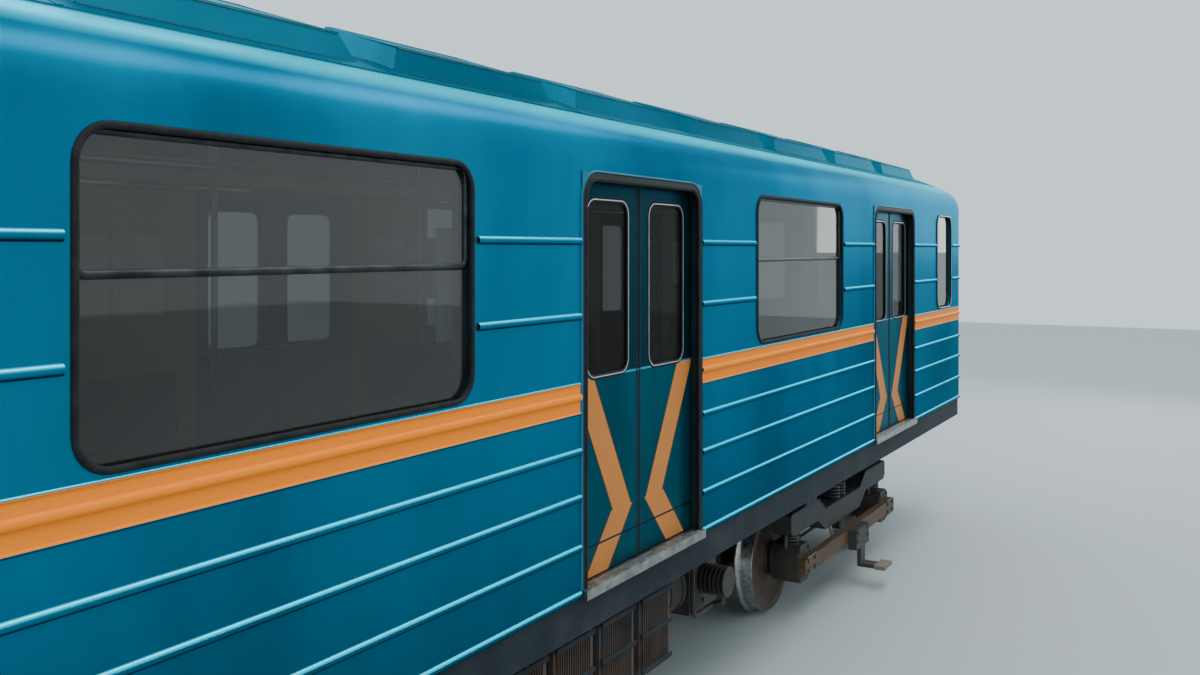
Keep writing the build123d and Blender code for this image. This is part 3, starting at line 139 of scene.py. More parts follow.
# The body's skin: pressed steel sheets welded over a frame and sprayed with blue enamel, an orange belt
# band under the windows, dust on the lower sheets, and pale laminate on the walls' inner faces. Its colour
# also carries painted highlight on faces that look up, and painted shade on faces that look down and
# towards the bottom edge.
SKIN_Y = 1.35
BODY_END = 9.385
SKIN_BOTTOM = 1.188
BELT = (SKIN_BOTTOM + 0.832, SKIN_BOTTOM + 0.966)
LINING_Y = 1.2325
LINING_X = 9.297
ENAMEL_BLUE = (0.0, 0.135, 0.240, 1)
ENAMEL = ((0.0, 0.082, 0.145, 1), ENAMEL_BLUE, (0.0, 0.180, 0.310, 1))
ENAMEL_EDGE = (0.0, 0.56, 0.72, 1)
# Painted light: a lighter cyan for faces that look up and for rib tops is painted highlight; the darker blues for faces
# that look down and for the lower sheets are painted shade.
ENAMEL_PAINTED_HIGHLIGHT = (0.0, 0.720, 0.900, 1)
RIB_PAINTED_HIGHLIGHT = (0.010, 0.720, 0.950, 1)
ENAMEL_SHADED = (0.0, 0.018, 0.036, 1)
ENAMEL_PAINTED_LOW_SHADE = (0.0, 0.045, 0.085, 1)
ENAMEL_LUSTRE = 0.72
ENAMEL_ORANGE = (0.950, 0.250, 0.022, 1)
ROAD_DUST = (0.060, 0.062, 0.055, 1)
LAMINATE = (0.400, 0.360, 0.270, 1)
CEILING_WHITE = (0.55, 0.54, 0.48, 1)
CANT_FOOT = 3.140


def math_node(operation, *values):
    """One sum on values, in the tree of the first of them."""
    return step(values[0].id_data, "ShaderNodeMath", dict(enumerate(values)), operation=operation).outputs[0]


def axes(material):
    """The piece's own X, Y and Z as three outputs."""
    place = node(material, "TexCoord").outputs["Object"]
    return node(material, "SeparateXYZ", {"Vector": place}).outputs


def slope(material):
    """How far a face looks up: 1 for a floor, 0 for a wall, -1 for a ceiling."""
    return node(material, "SeparateXYZ", {"Vector": node(material, "NewGeometry").outputs["Normal"]}).outputs["Z"]


def away(value):
    return math_node("ABSOLUTE", value)


def above(value, limit):
    return math_node("GREATER_THAN", value, limit)


def below(value, limit):
    return math_node("LESS_THAN", value, limit)


def both(mask, other):
    return math_node("MULTIPLY", mask, other)


def either(mask, other):
    return math_node("MAXIMUM", mask, other)


def between(value, low, high):
    """1 where a value lies between two limits, else 0."""
    return both(above(value, low), below(value, high))


def rising(value, start, stop, last=1.0, first=0.0):
    """A mask that goes from its first to its last strength as a value goes from start to stop."""
    inputs = {"Value": value, "From Min": start, "From Max": stop, "To Min": first, "To Max": last}
    return step(value.id_data, "ShaderNodeMapRange", inputs).outputs["Result"]


def finish(name, colours, scale=6.0, stretch=(1, 1, 1), gloss=(0.35, 0.55), bump=0.15, grain=60.0, **sockets):
    """A finish whose colour drifts between its colours over the surface, with uneven gloss and a fine grain."""
    material = bpy.data.materials.new(name)
    material.use_nodes = True
    shader = material.node_tree.nodes["Principled BSDF"]
    for socket, value in sockets.items():
        shader.inputs[socket.replace("_", " ").title().replace("Ior", "IOR")].default_value = value
    place = node(material, "TexCoord").outputs["Object"]
    stretched = node(material, "Mapping", {"Vector": place, "Scale": stretch}).outputs["Vector"]
    drift = node(material, "TexNoise", {"Vector": stretched, "Scale": scale, "Detail": 6}).outputs["Fac"]
    ramp = node(material, "ValToRGB", {"Fac": drift})
    ramp.color_ramp.elements[0].position = 0.32
    ramp.color_ramp.elements[1].position = 0.68
    ramp.color_ramp.elements[0].color = colours[0]
    ramp.color_ramp.elements[1].color = colours[-1]
    for i, colour in enumerate(colours[1:-1], 1):
        ramp.color_ramp.elements.new(0.32 + 0.36 * i / (len(colours) - 1)).color = colour
    fine = node(material, "TexNoise", {"Vector": place, "Scale": grain, "Detail": 4}).outputs["Fac"]
    rough = node(material, "MapRange", {"Value": drift, "To Min": gloss[0], "To Max": gloss[1]}).outputs["Result"]
    relief = node(material, "Bump", {"Height": fine, "Strength": bump, "Distance": 0.002}).outputs["Normal"]
    for socket, value in (("Base Color", ramp.outputs["Color"]), ("Roughness", rough), ("Normal", relief)):
        material.node_tree.links.new(value, shader.inputs[socket])
    return material


def layer(material, mask, colour, socket="Base Color"):
    """Lays a colour over what the finish has so far, as far as the mask goes from 0 to 1."""
    target = material.node_tree.nodes["Principled BSDF"].inputs[socket]
    mixed = node(material, "MixRGB", {"Fac": mask, "Color1": target.links[0].from_socket, "Color2": colour})
    material.node_tree.links.new(mixed.outputs["Color"], target)


def blend(material, mask, bare, covered, socket):
    """Gives a plain socket one number off a mask and another number on it."""
    mixed = node(material, "Mix", {0: mask, 2: bare, 3: covered}, data_type="FLOAT").outputs[0]
    material.node_tree.links.new(mixed, material.node_tree.nodes["Principled BSDF"].inputs[socket])


def dusty(material, colour, low, high, most=0.8, scale=3.0):
    """Dust that is thickest at one height and gone at another, broken up by streaks."""
    thick = rising(axes(material)["Z"], low, high, 0, most)
    place = node(material, "TexCoord").outputs["Object"]
    streaks = node(material, "Mapping", {"Vector": place, "Scale": (scale, scale, scale / 5)}).outputs["Vector"]
    broken = node(material, "TexNoise", {"Vector": streaks, "Scale": 2.0, "Detail": 8}).outputs["Fac"]
    layer(material, both(thick, rising(broken, 0.35, 0.7)), colour)


def paint(names, material):
    """The material on CAD nodes whose names start with one of some words."""
    for name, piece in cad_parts.items():
        if name.startswith(names):
            for place in piece.material_slots:
                place.material = material


body_enamel = finish(
    "body_enamel", ENAMEL, 0.9, (1, 1, 0.35), (0.22, 0.36), 0.02, 25, specular_tint=ENAMEL_EDGE, specular_ior_level=0.01
)
skin_x, skin_y, skin_z = axes(body_enamel)
skin_slope = slope(body_enamel)
from_side, from_end = away(skin_y), away(skin_x)
# Painted highlight: enamel that looks up, most of all the upper shoulder of the cant rail, turns a lighter cyan.
layer(body_enamel, rising(skin_slope, 0.70, 0.93), ENAMEL_PAINTED_HIGHLIGHT)
# Painted shade: faces that look down, such as the undersides of the ribs, are darkened.
layer(body_enamel, rising(skin_slope, -0.2, -0.7, 0.9), ENAMEL_SHADED)
# Painted shade: the sheets grow darker from the belt down to the bottom edge.
layer(body_enamel, rising(skin_z, BELT[1], SKIN_BOTTOM, 0.6), ENAMEL_PAINTED_LOW_SHADE)
dusty(body_enamel, ROAD_DUST, SKIN_BOTTOM, SKIN_BOTTOM + 0.45, 0.25)
proud = either(above(from_side, SKIN_Y + 0.001), above(from_end, BODY_END + 0.001))
# Painted highlight: the upper faces of ribs, mouldings and beads that stand proud of the skin turn a lighter cyan.
layer(body_enamel, both(rising(skin_slope, 0.15, 0.60), proud), RIB_PAINTED_HIGHLIGHT)
outer = either(above(from_side, SKIN_Y - 0.020), above(from_end, BODY_END - 0.020))
belt = both(outer, between(skin_z, *BELT))
layer(body_enamel, belt, ENAMEL_ORANGE)
inside = both(below(from_side, LINING_Y), below(from_end, LINING_X))
lining = both(inside, below(skin_z, CANT_FOOT))
layer(body_enamel, lining, LAMINATE)
ceiling = both(both(inside, below(skin_slope, 0.05)), above(skin_z, CANT_FOOT))
layer(body_enamel, ceiling, CEILING_WHITE)
blend(body_enamel, either(either(ceiling, lining), belt), ENAMEL_LUSTRE, 0.0, "Metallic")
paint(("side_wall", "end_wall", "cant_rail"), body_enamel)

# The ribs: beads rolled into the skin for stiffness, which run round the corners onto the end walls
# below the windows, with two thin mouldings and a middle bead on the orange belt.
SIDES = (("left", 1), ("right", -1))
ENDS = (("front", 1), ("rear", -1))
DOOR_XS = (-6.87, -2.29, 2.29, 6.87)
HALF_DOORWAY = 0.605
HALF_WINDOW = 0.845
END_BAY_WINDOW = (8.375, 8.985)
UPPER_RIBS = (1.610, 1.270)
LOWER_RIBS = (0.905, 0.660, 0.450, 0.224, 0.014)
RIB_SECTION = (0.017, 0.013)
MOULDING_SECTION = (0.007, 0.006)
RIB_TO_DOOR = 0.042
RIB_TO_WINDOW = 0.028
CORNER_ROUND = 0.030
END_DOOR_JAMB = 0.36


def made_by(tree, kind, inputs=None, **settings):
    """What one new node of a geometry tree gives."""
    return step(tree, "GeometryNode" + kind, inputs, **settings).outputs[0]


def new_tree(name, **inputs):
    """A geometry tree with a base input and named inputs, and its group input's outputs."""
    tree = bpy.data.node_groups.new(name, "GeometryNodeTree")
    tree.interface.new_socket("Base", in_out="INPUT", socket_type="NodeSocketGeometry")
    for label, kind in inputs.items():
        tree.interface.new_socket(label, in_out="INPUT", socket_type="NodeSocket" + kind)
    tree.interface.new_socket("Made", in_out="OUTPUT", socket_type="NodeSocketGeometry")
    return tree, tree.nodes.new("NodeGroupInput").outputs


def close_tree(tree, made, material):
    """Ends a tree: instances made real and the material set."""
    real = made_by(tree, "RealizeInstances", {"Geometry": made})
    coated = made_by(tree, "SetMaterial", {"Geometry": real, "Material": material})
    tree.links.new(coated, tree.nodes.new("NodeGroupOutput").inputs[0])


def beads_tree():
    """Sweeps a flattened round section along paths; level paths turn corners with the section upright."""
    kinds = {"Across": "Float", "Proud": "Float", "Sides": "Int", "Outward": "Vector", "Level": "Bool"}
    tree, given = new_tree("beads", **kinds, Finish="Material")
    path = made_by(tree, "MeshToCurve", {"Mesh": given["Base"]})
    tangent = made_by(tree, "InputTangent")
    sideways = step(tree, "ShaderNodeVectorMath", {0: tangent, 1: (0, 0, 1)}, operation="CROSS_PRODUCT").outputs[0]
    ways = {"Switch": given["Level"], "False": given["Outward"], "True": sideways}
    chosen = made_by(tree, "Switch", ways, input_type="VECTOR")
    facing = made_by(tree, "SetCurveNormal", {"Curve": path, "Normal": chosen}, mode="FREE")
    ring = made_by(tree, "CurvePrimitiveCircle", {"Resolution": given["Sides"], "Radius": 1.0})
    sizes = step(tree, "ShaderNodeCombineXYZ", {"X": given["Proud"], "Y": given["Across"], "Z": 1.0}).outputs[0]
    section = made_by(tree, "Transform", {"Geometry": ring, "Scale": sizes})
    sweep = {"Curve": facing, "Profile Curve": section, "Fill Caps": True}
    swept = made_by(tree, "CurveToMesh", sweep)
    close_tree(tree, swept, given["Finish"])
    return tree


def paths(lines, closed=False):
    """A mesh of edges only, along lists of points."""
    mesh = bpy.data.meshes.new("paths")
    points, edges = [], []
    for line in lines:
        start = len(points)
        points += line
        edges += [(start + i, start + i + 1) for i in range(len(line) - 1)]
        if closed:
            edges.append((start + len(line) - 1, start))
    mesh.from_pydata(points, edges, [])
    return mesh


def evaluated(source):
    """The mesh that an object's modifiers make."""
    return bpy.data.meshes.new_from_object(source.evaluated_get(bpy.context.evaluated_depsgraph_get()))


def grown(name, base, tree, values, body, smooth=60):
    """What a tree makes of a base mesh, as one plain piece that rides on its body."""
    source = bpy.data.objects.new(name, base)
    bpy.context.scene.collection.objects.link(source)
    modifier = source.modifiers.new("tree", "NODES")
    modifier.node_group = tree
    for item in tree.interface.items_tree:
        if item.in_out == "INPUT" and item.name in values:
            modifier[item.identifier] = values[item.name]
    mesh = evaluated(source)
    bpy.data.objects.remove(source)
    return shown(name, mesh, body, smooth)


def shown(name, mesh, body, smooth=60):
    """A finished mesh as a piece: normals outward, edges sharp past an angle, riding on its body."""
    shape = bmesh.new()
    shape.from_mesh(mesh)
    bmesh.ops.recalc_face_normals(shape, faces=shape.faces)
    for face in shape.faces:
        face.smooth = True
    shape.to_mesh(mesh)
    shape.free()
    mesh.set_sharp_from_angle(angle=math.radians(smooth))
    piece = bpy.data.objects.new(name, mesh)
    bpy.context.scene.collection.objects.link(piece)
    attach(piece, body)
    return piece


def bead(
    name, lines, section, material, slot, body="carbody",
    closed=False, outward=(0, 1, 0), level=False, sides=8, smooth=60,
):
    """A bead, strip or tube along paths: its section is a radius, or half its width and its height."""
    across, proud = section if isinstance(section, tuple) else (section, section)
    values = {"Across": across, "Proud": proud, "Sides": sides, "Outward": outward, "Level": level, "Finish": material}
    return grown(name, paths(lines, closed), beads, values, body, smooth)


def panel_spans():
    """Along one side: each panel between doorways, with its window's two ends."""
    spans = []
    for left, right in zip(DOOR_XS[:-1], DOOR_XS[1:]):
        middle = (left + right) / 2
        spans.append((left + HALF_DOORWAY, right - HALF_DOORWAY, middle - HALF_WINDOW, middle + HALF_WINDOW))
    return spans


def rib_lines(heights, offset):
    """Level paths of the ribs at some heights over the skin's bottom edge, standing off the skin."""
    lines = []
    for height in heights:
        z = SKIN_BOTTOM + height
        for side in (1, -1):
            y = side * (SKIN_Y + offset)
            for left, right, window_left, window_right in panel_spans():
                if height in UPPER_RIBS:
                    lines.append([(left + RIB_TO_DOOR, y, z), (window_left - RIB_TO_WINDOW, y, z)])
                    lines.append([(window_right + RIB_TO_WINDOW, y, z), (right - RIB_TO_DOOR, y, z)])
                else:
                    lines.append([(left + RIB_TO_DOOR, y, z), (right - RIB_TO_DOOR, y, z)])
            for end in (1, -1):
                start = end * (DOOR_XS[-1] + HALF_DOORWAY + RIB_TO_DOOR)
                if height in UPPER_RIBS:
                    lines.append([(start, y, z), (end * (END_BAY_WINDOW[0] - RIB_TO_WINDOW), y, z)])
                    last = end * (BODY_END - CORNER_ROUND)
                    lines.append([(end * (END_BAY_WINDOW[1] + RIB_TO_WINDOW), y, z), (last, y, z)])
                    continue
                line = [(start, y, z)]
                for i in range(5):
                    turn = math.pi / 8 * i
                    corner_x = BODY_END - CORNER_ROUND + (CORNER_ROUND + offset) * math.sin(turn)
                    corner_y = SKIN_Y - CORNER_ROUND + (CORNER_ROUND + offset) * math.cos(turn)
                    line.append((end * corner_x, side * corner_y, z))
                line.append((end * (BODY_END + offset), side * END_DOOR_JAMB, z))
                lines.append(line)
    return lines


beads = beads_tree()
bead("skin_ribs", rib_lines(UPPER_RIBS + LOWER_RIBS, 0), RIB_SECTION, body_enamel, "body_paint", level=True, sides=12)
belt_edges = [height - SKIN_BOTTOM for height in BELT]
bead("belt_mouldings", rib_lines(belt_edges, 0), MOULDING_SECTION, body_enamel, "body_paint", level=True)

# Window seals: black rubber profiles pulled over the pressed edge of each opening, with a thin bright
# strip locked into those of the narrow windows, and the frame of the vent light in the wide ones.
WINDOW_BOTTOM = SKIN_BOTTOM + 0.985
WINDOW_TOP = WINDOW_BOTTOM + 0.925
WINDOW_ROUND = 0.110
GLASS_Y = 1.330
END_WINDOW_Y = 0.800
SEAL_SECTION = (0.012, 0.009)
SEAL_INSET = 0.006
VENT_BAR_Z = 2.695
RUBBER = ((0.006, 0.006, 0.007, 1), (0.018, 0.018, 0.019, 1))
BRIGHT_TRIM = ((0.42, 0.43, 0.43, 1), (0.62, 0.63, 0.62, 1))
SASH_ALLOY = ((0.020, 0.022, 0.024, 1), (0.060, 0.062, 0.064, 1))
GLASS_TINT = ((0.018, 0.013, 0.013, 1), (0.030, 0.023, 0.022, 1))
GLASS_GLOSS = (0.03, 0.03, 0.03, 1)
GLASS_COVER = (0.45, 0.95)
END_WINDOW_HALF = 0.204
seal_rubber = finish("seal_rubber", RUBBER, 20, gloss=(0.6, 0.8), bump=0.1, grain=300, specular_ior_level=0.2)
bright_trim = finish("bright_trim", BRIGHT_TRIM, 12, gloss=(0.25, 0.45), bump=0.08, grain=400, metallic=1.0)
sash_alloy = finish("sash_alloy", SASH_ALLOY, 12, gloss=(0.3, 0.5), bump=0.08, grain=400, metallic=1.0)
window_glass = finish("window_glass", GLASS_TINT, 2, gloss=(0.01, 0.04), bump=0.0, specular_ior_level=0.7, ior=1.65)
glancing = node(window_glass, "LayerWeight", {"Blend": 0.35}).outputs["Facing"]
blend(window_glass, rising(glancing, 0.1, 0.9), *GLASS_COVER, "Alpha")
paint(("window_panes",), window_glass)


def rounded(left, right, bottom, top, radius, steps=6):
    """Corner-rounded outline of an opening, as (across, height) pairs."""
    points = []
    corners = ((right, top, 0), (left, top, 1), (left, bottom, 2), (right, bottom, 3))
    for x, z, quarter in corners:
        centre_x = x - radius if x == right else x + radius
        centre_z = z - radius if z == top else z + radius
        for i in range(steps + 1):
            angle = math.pi / 2 * (quarter + i / steps)
            points.append((centre_x + radius * math.cos(angle), centre_z + radius * math.sin(angle)))
    return points


def on_side(outline, y):
    return [(x, y, z) for x, z in outline]


def on_end(outline, x):
    return [(x, y, z) for y, z in outline]


side_windows = [(left, right) for _, _, left, right in panel_spans()]
side_windows += [END_BAY_WINDOW, (-END_BAY_WINDOW[1], -END_BAY_WINDOW[0])]
side_seals, side_trims, vent_frames = [], [], []
for side in (1, -1):
    for left, right in side_windows:
        edge = (left + SEAL_INSET, right - SEAL_INSET, WINDOW_BOTTOM + SEAL_INSET, WINDOW_TOP - SEAL_INSET)
        side_seals.append(on_side(rounded(*edge, WINDOW_ROUND - SEAL_INSET), side * SKIN_Y))
        if right - left < 1:
            strip_y = side * (SKIN_Y + SEAL_SECTION[1] - 0.001)
            side_trims.append(on_side(rounded(*edge, WINDOW_ROUND - SEAL_INSET), strip_y))
        else:
            light = (left + 0.022, right - 0.022, VENT_BAR_Z, WINDOW_TOP - 0.022)
            vent_frames.append(on_side(rounded(*light, 0.03), side * GLASS_Y))
end_seals = []
for end in (1, -1):
    for side in (1, -1):
        y = side * END_WINDOW_Y
        span = (y - END_WINDOW_HALF, y + END_WINDOW_HALF, WINDOW_BOTTOM + SEAL_INSET, WINDOW_TOP - SEAL_INSET)
        end_seals.append(on_end(rounded(*span, WINDOW_ROUND), end * BODY_END))
bead("side_window_seals", side_seals, SEAL_SECTION, seal_rubber, "dark_trim", closed=True, sides=10)
bead("end_window_seals", end_seals, SEAL_SECTION, seal_rubber, "dark_trim", closed=True, outward=(1, 0, 0), sides=10)
bead("side_window_strips", side_trims, (0.004, 0.003), bright_trim, "dark_trim", closed=True, sides=6)
bead("vent_light_frames", vent_frames, (0.012, 0.008), sash_alloy, "dark_trim", closed=True)
paint(("sash_bars",), sash_alloy)

# Doorways: a dark pressed rim with rounded upper corners lined in rubber, and a cast tread plate below
# whose ribs are worn bright by shoes.
PORTAL_TOP = SKIN_BOTTOM + 1.900
PORTAL_ROUND = 0.100
FLANGE_WIDTH = 0.032
DOOR_PITCH = 4.58
SILL_TOP = 1.218
SILL_OUTER = 1.380
TREAD_RIB = (1.18, 0.006, 0.004)
TREAD_ROWS = 4
TREAD_STEP = 0.016
PORTAL_PAINT = ((0.004, 0.009, 0.012, 1), (0.010, 0.018, 0.022, 1))
TREAD_STEEL = ((0.20, 0.20, 0.19, 1), (0.42, 0.42, 0.40, 1))
portal_paint = finish("portal_paint", PORTAL_PAINT, 5, gloss=(0.45, 0.6), bump=0.05, specular_ior_level=0.2)


def from_doorway(material):
    """Distance along the side from the middle of the nearest doorway."""
    shifted = math_node("SUBTRACT", axes(material)["X"], DOOR_PITCH / 2)
    return math_node("PINGPONG", shifted, DOOR_PITCH / 2)


def past(value, limit):
    """How far a value has gone past a limit, or 0, squared."""
    beyond = math_node("MAXIMUM", math_node("SUBTRACT", value, limit), 0.0)
    return math_node("POWER", beyond, 2)


past_jamb = past(from_doorway(portal_paint), HALF_DOORWAY - PORTAL_ROUND)
past_head = past(axes(portal_paint)["Z"], PORTAL_TOP - PORTAL_ROUND)
from_round = math_node("SQRT", math_node("ADD", past_jamb, past_head))
layer(portal_paint, above(from_round, PORTAL_ROUND + FLANGE_WIDTH), ENAMEL_BLUE)
tread_steel = finish("tread_steel", TREAD_STEEL, 14, (1, 4, 1), (0.25, 0.5), 0.3, 220, metallic=1.0)
paint(("door_portals",), portal_paint)
paint(("door_sills",), tread_steel)


def portal_line(x, y, inset):
    """Up one jamb, round the head and down the other jamb."""
    half = HALF_DOORWAY - inset
    radius = PORTAL_ROUND - inset
    top = PORTAL_TOP - inset
    points = [(x + half, y, SILL_TOP)]
    for i in range(9):
        angle = math.pi / 16 * i
        points.append((x + half - radius + radius * math.cos(angle), y, top - radius + radius * math.sin(angle)))
    points += [(2 * x - point[0], y, point[2]) for point in reversed(points)]
    return points


rims = [portal_line(x, side * (SKIN_Y + 0.003), 0.002) for side in (1, -1) for x in DOOR_XS]
bead("doorway_rubbers", rims, (0.012, 0.009), seal_rubber, "portal_paint", sides=10)
outer_rims = [portal_line(x, side * SKIN_Y, -FLANGE_WIDTH) for side in (1, -1) for x in DOOR_XS]
bead("doorway_flanges", outer_rims, 0.009, portal_paint, "portal_paint")


def slats_tree():
    """Rows of equal slats: a block repeated along a step from every base point."""
    tree, given = new_tree("slats", Slat="Vector", Count="Int", Step="Vector", Finish="Material")
    block = made_by(tree, "MeshCube", {"Size": given["Slat"]})
    places = {"Count": given["Count"], "Offset": given["Step"]}
    row = made_by(tree, "MeshLine", places, mode="OFFSET")
    slats = made_by(tree, "InstanceOnPoints", {"Points": row, "Instance": block})
    rows = made_by(tree, "InstanceOnPoints", {"Points": given["Base"], "Instance": slats})
    close_tree(tree, rows, given["Finish"])
    return tree


def slatted(name, starts, size, count, move, material):
    """Rows of equal slats as one piece on the carbody."""
    values = {"Slat": size, "Count": count, "Step": move, "Finish": material}
    return grown(name, paths(starts), slats, values, "carbody", 30)


slats = slats_tree()
for side_name, side in SIDES:
    starts = [[(x, side * (SILL_OUTER - 0.010), SILL_TOP + 0.0015)] for x in DOOR_XS]
    move = (0, -side * TREAD_STEP, 0)
    slatted(f"tread_ribs_{side_name}", starts, TREAD_RIB, TREAD_ROWS, move, tread_steel)

# Door leaves: pressed steel, blue below and dark teal round the glass, each with one bent arm of the
# orange cross that the belt turns into, a rubber nose along the meeting edge, a seam over the foot, and
# a rubber seal with a thin bright strip round the pane.
LEAF_OUT = 1.299
LEAF_FOOT = 1.226
LEAF_HEAD = 3.148
# Half its width, its bottom, its top and the radius of its corners
LEAF_PANE = (0.200, 2.158, 2.998, 0.070)
LEAF_PANE_X = 0.309
LEAF_BLUE = ((0.0, 0.045, 0.068, 1), (0.0, 0.080, 0.115, 1))
LEAF_TEAL = (0.001, 0.024, 0.034, 1)
LEAF_GLASS_Y = (1.2825, 1.2895)
LEAF_LUSTRE = 0.55
PANE_COVER = 0.55
STEEL_EDGE = (0.0, 0.62, 0.78, 1)
# Painted highlight along the pressed ledge under the leaf's glass.
LEAF_LEDGE_PAINTED_HIGHLIGHT = (0.060, 0.330, 0.440, 1)
LEAF_SEAM = (0.006, 0.010, 0.012, 1)
SEAM_HEIGHT = 0.180
ARM_ORANGE = (0.560, 0.190, 0.045, 1)
ARM_EDGE = (0.035, 0.030, 0.020, 1)
# The arm's middle line: distance from the meeting edge and height over the skin's bottom edge
ARM_TOP = (0.530, 0.966)
ARM_KNEE = (0.170, 0.310)
ARM_FOOT = (0.420, 0.030)
ARM_HALF_WIDTH = 0.078
ARM_EDGE_WIDTH = 0.008
leaf_paint = finish(
    "leaf_paint", LEAF_BLUE, 2.5, (1, 1, 0.3), (0.25, 0.4), 0.03, 40, specular_tint=STEEL_EDGE, specular_ior_level=0.06
)
leaf_y, leaf_z = away(axes(leaf_paint)["Y"]), axes(leaf_paint)["Z"]
layer(leaf_paint, above(leaf_z, BELT[1] + 0.012), LEAF_TEAL)
across = from_doorway(leaf_paint)
over = math_node("SUBTRACT", leaf_z, SKIN_BOTTOM)


def arm_distance(start, stop):
    """Distance on the leaf from the straight line through two points of the arm."""
    run, rise = stop[0] - start[0], stop[1] - start[1]
    length = math.hypot(run, rise)
    part = math_node("MULTIPLY", math_node("SUBTRACT", across, start[0]), rise / length)
    other = math_node("MULTIPLY", math_node("SUBTRACT", over, start[1]), run / length)
    return away(math_node("SUBTRACT", part, other))


arms = {0: above(over, ARM_KNEE[1]), 2: arm_distance(ARM_KNEE, ARM_FOOT)}
arms[3] = arm_distance(ARM_KNEE, ARM_TOP)
from_arm = node(leaf_paint, "Mix", arms, data_type="FLOAT").outputs[0]
on_leaf = both(below(leaf_z, BELT[1]), above(leaf_y, LEAF_OUT - 0.004))
arm_edge = both(on_leaf, below(from_arm, ARM_HALF_WIDTH + ARM_EDGE_WIDTH))
layer(leaf_paint, arm_edge, ARM_EDGE)
layer(leaf_paint, both(on_leaf, below(from_arm, ARM_HALF_WIDTH)), ARM_ORANGE)
# Painted highlight: a thin light line across the leaf where the pressed ledge under the glass would catch the light.
layer(leaf_paint, between(over, BELT[1] - SKIN_BOTTOM - 0.002, BELT[1] - SKIN_BOTTOM + 0.008), LEAF_LEDGE_PAINTED_HIGHLIGHT)
layer(leaf_paint, between(over, SEAM_HEIGHT - 0.005, SEAM_HEIGHT + 0.005), LEAF_SEAM)
dusty(leaf_paint, ROAD_DUST, SKIN_BOTTOM, SKIN_BOTTOM + 0.5, 0.35)


def glaze(material, faces, across, height, pane, middle=0.0):
    """Turns the pane of a door into dark, glossy, half-clear glass, and returns its mask."""
    half, bottom, top, _ = pane
    widths = between(across, middle - half - 0.001, middle + half + 0.001)
    glass = both(both(faces, widths), between(height, bottom - 0.001, top + 0.001))
    layer(material, glass, GLASS_TINT[0])
    layer(material, glass, GLASS_GLOSS, "Roughness")
    blend(material, glass, 1.0, PANE_COVER, "Alpha")
    return glass


leaf_pane = glaze(leaf_paint, between(leaf_y, *LEAF_GLASS_Y), across, leaf_z, LEAF_PANE, LEAF_PANE_X)
blend(leaf_paint, either(leaf_pane, arm_edge), LEAF_LUSTRE, 0.0, "Metallic")
paint(("leaf_",), leaf_paint)
half, bottom, top, radius = LEAF_PANE
for side_name, side in SIDES:
    for number, x in enumerate(DOOR_XS, 1):
        for way_name, way in ENDS:
            body = f"leaf_{side_name}_{number}_{way_name}"
            middle = x + way * LEAF_PANE_X
            pane = rounded(middle - half, middle + half, bottom, top, radius)
            seal = on_side(pane, side * LEAF_OUT)
            bead(f"{body}_seal", [seal], (0.013, 0.0035), seal_rubber, "dark_trim", body=body, closed=True)
            strip = on_side(pane, side * (LEAF_OUT + 0.003))
            bead(f"{body}_strip", [strip], (0.003, 0.0015), bright_trim, "dark_trim", body=body, closed=True, sides=6)
            nose = [(x + way * 0.016, side * (LEAF_OUT - 0.0155), z) for z in (LEAF_FOOT + 0.004, LEAF_HEAD - 0.004)]
            bead(f"{body}_nose", [nose], (0.0145, 0.0185), seal_rubber, "dark_trim", body=body, sides=10)

# The roof: welded sheets over hoops in the body's blue, with weld beads across it and along each
# shoulder, and two rows of smooth ventilator hoods with hemmed edges.
ROOF_PAINT = ((0.0, 0.074, 0.120, 1), (0.0, 0.125, 0.195, 1))
SHOULDER_Y = 1.100
ROOF_REACH = 9.30
CROWN_RADIUS = 2.707
CROWN_CENTRE = 0.961
VENT_PITCH = 1.400
VENT_COUNT = 13
SEAM_START_Y = -1.08
SEAM_STEP = 0.09
SEAM_POINTS = 25
# Each hood's outer foot, outer crest and inner crest: half its length, Y, Z
HOOD_FOOT = (0.590, 0.975, 3.486)
HOOD_OUTER = (0.529, 0.940, 3.590)
HOOD_INNER = (0.447, 0.482, 3.733)
roof_paint = finish(
    "roof_paint", ROOF_PAINT, 1.3, (0.6, 2, 1), (0.3, 0.5), 0.08, 30, specular_tint=STEEL_EDGE, specular_ior_level=0.06
)
under_roof = below(slope(roof_paint), -0.1)
layer(roof_paint, under_roof, CEILING_WHITE)
blend(roof_paint, under_roof, ENAMEL_LUSTRE, 0.0, "Metallic")
paint(("roof",), roof_paint)


def on_crown(x, y):
    return (x, y, CROWN_CENTRE + math.sqrt(CROWN_RADIUS ** 2 - y ** 2))


vent_xs = [(i - (VENT_COUNT - 1) / 2) * VENT_PITCH for i in range(VENT_COUNT)]
seam_xs = [vent_xs[0] - VENT_PITCH / 2] + [x + VENT_PITCH / 2 for x in vent_xs]
seam_ys = [SEAM_START_Y + SEAM_STEP * i for i in range(SEAM_POINTS)]
roof_seams = [[on_crown(x, y) for y in seam_ys] for x in seam_xs if abs(x) < ROOF_REACH]
roof_seams += [[on_crown(x, side * SHOULDER_Y) for x in (-ROOF_REACH, ROOF_REACH)] for side in (1, -1)]
bead("roof_weld_beads", roof_seams, (0.011, 0.004), roof_paint, "roof_paint", outward=(0, 0, 1), sides=6)
hems = []
for side in (1, -1):
    for x in vent_xs:
        corners = [(x - HOOD_OUTER[0], HOOD_OUTER), (x + HOOD_OUTER[0], HOOD_OUTER)]
        corners += [(x + HOOD_INNER[0], HOOD_INNER), (x - HOOD_INNER[0], HOOD_INNER)]
        corners += corners[:1]
        foot = [(x - HOOD_FOOT[0], HOOD_FOOT), (x + HOOD_FOOT[0], HOOD_FOOT)]
        hems += [[(px, side * y, z) for px, (half, y, z) in line] for line in (corners, foot)]
bead("hood_hems", hems, (0.008, 0.004), roof_paint, "vent_paint", outward=(0, 0.3, 1), sides=6)

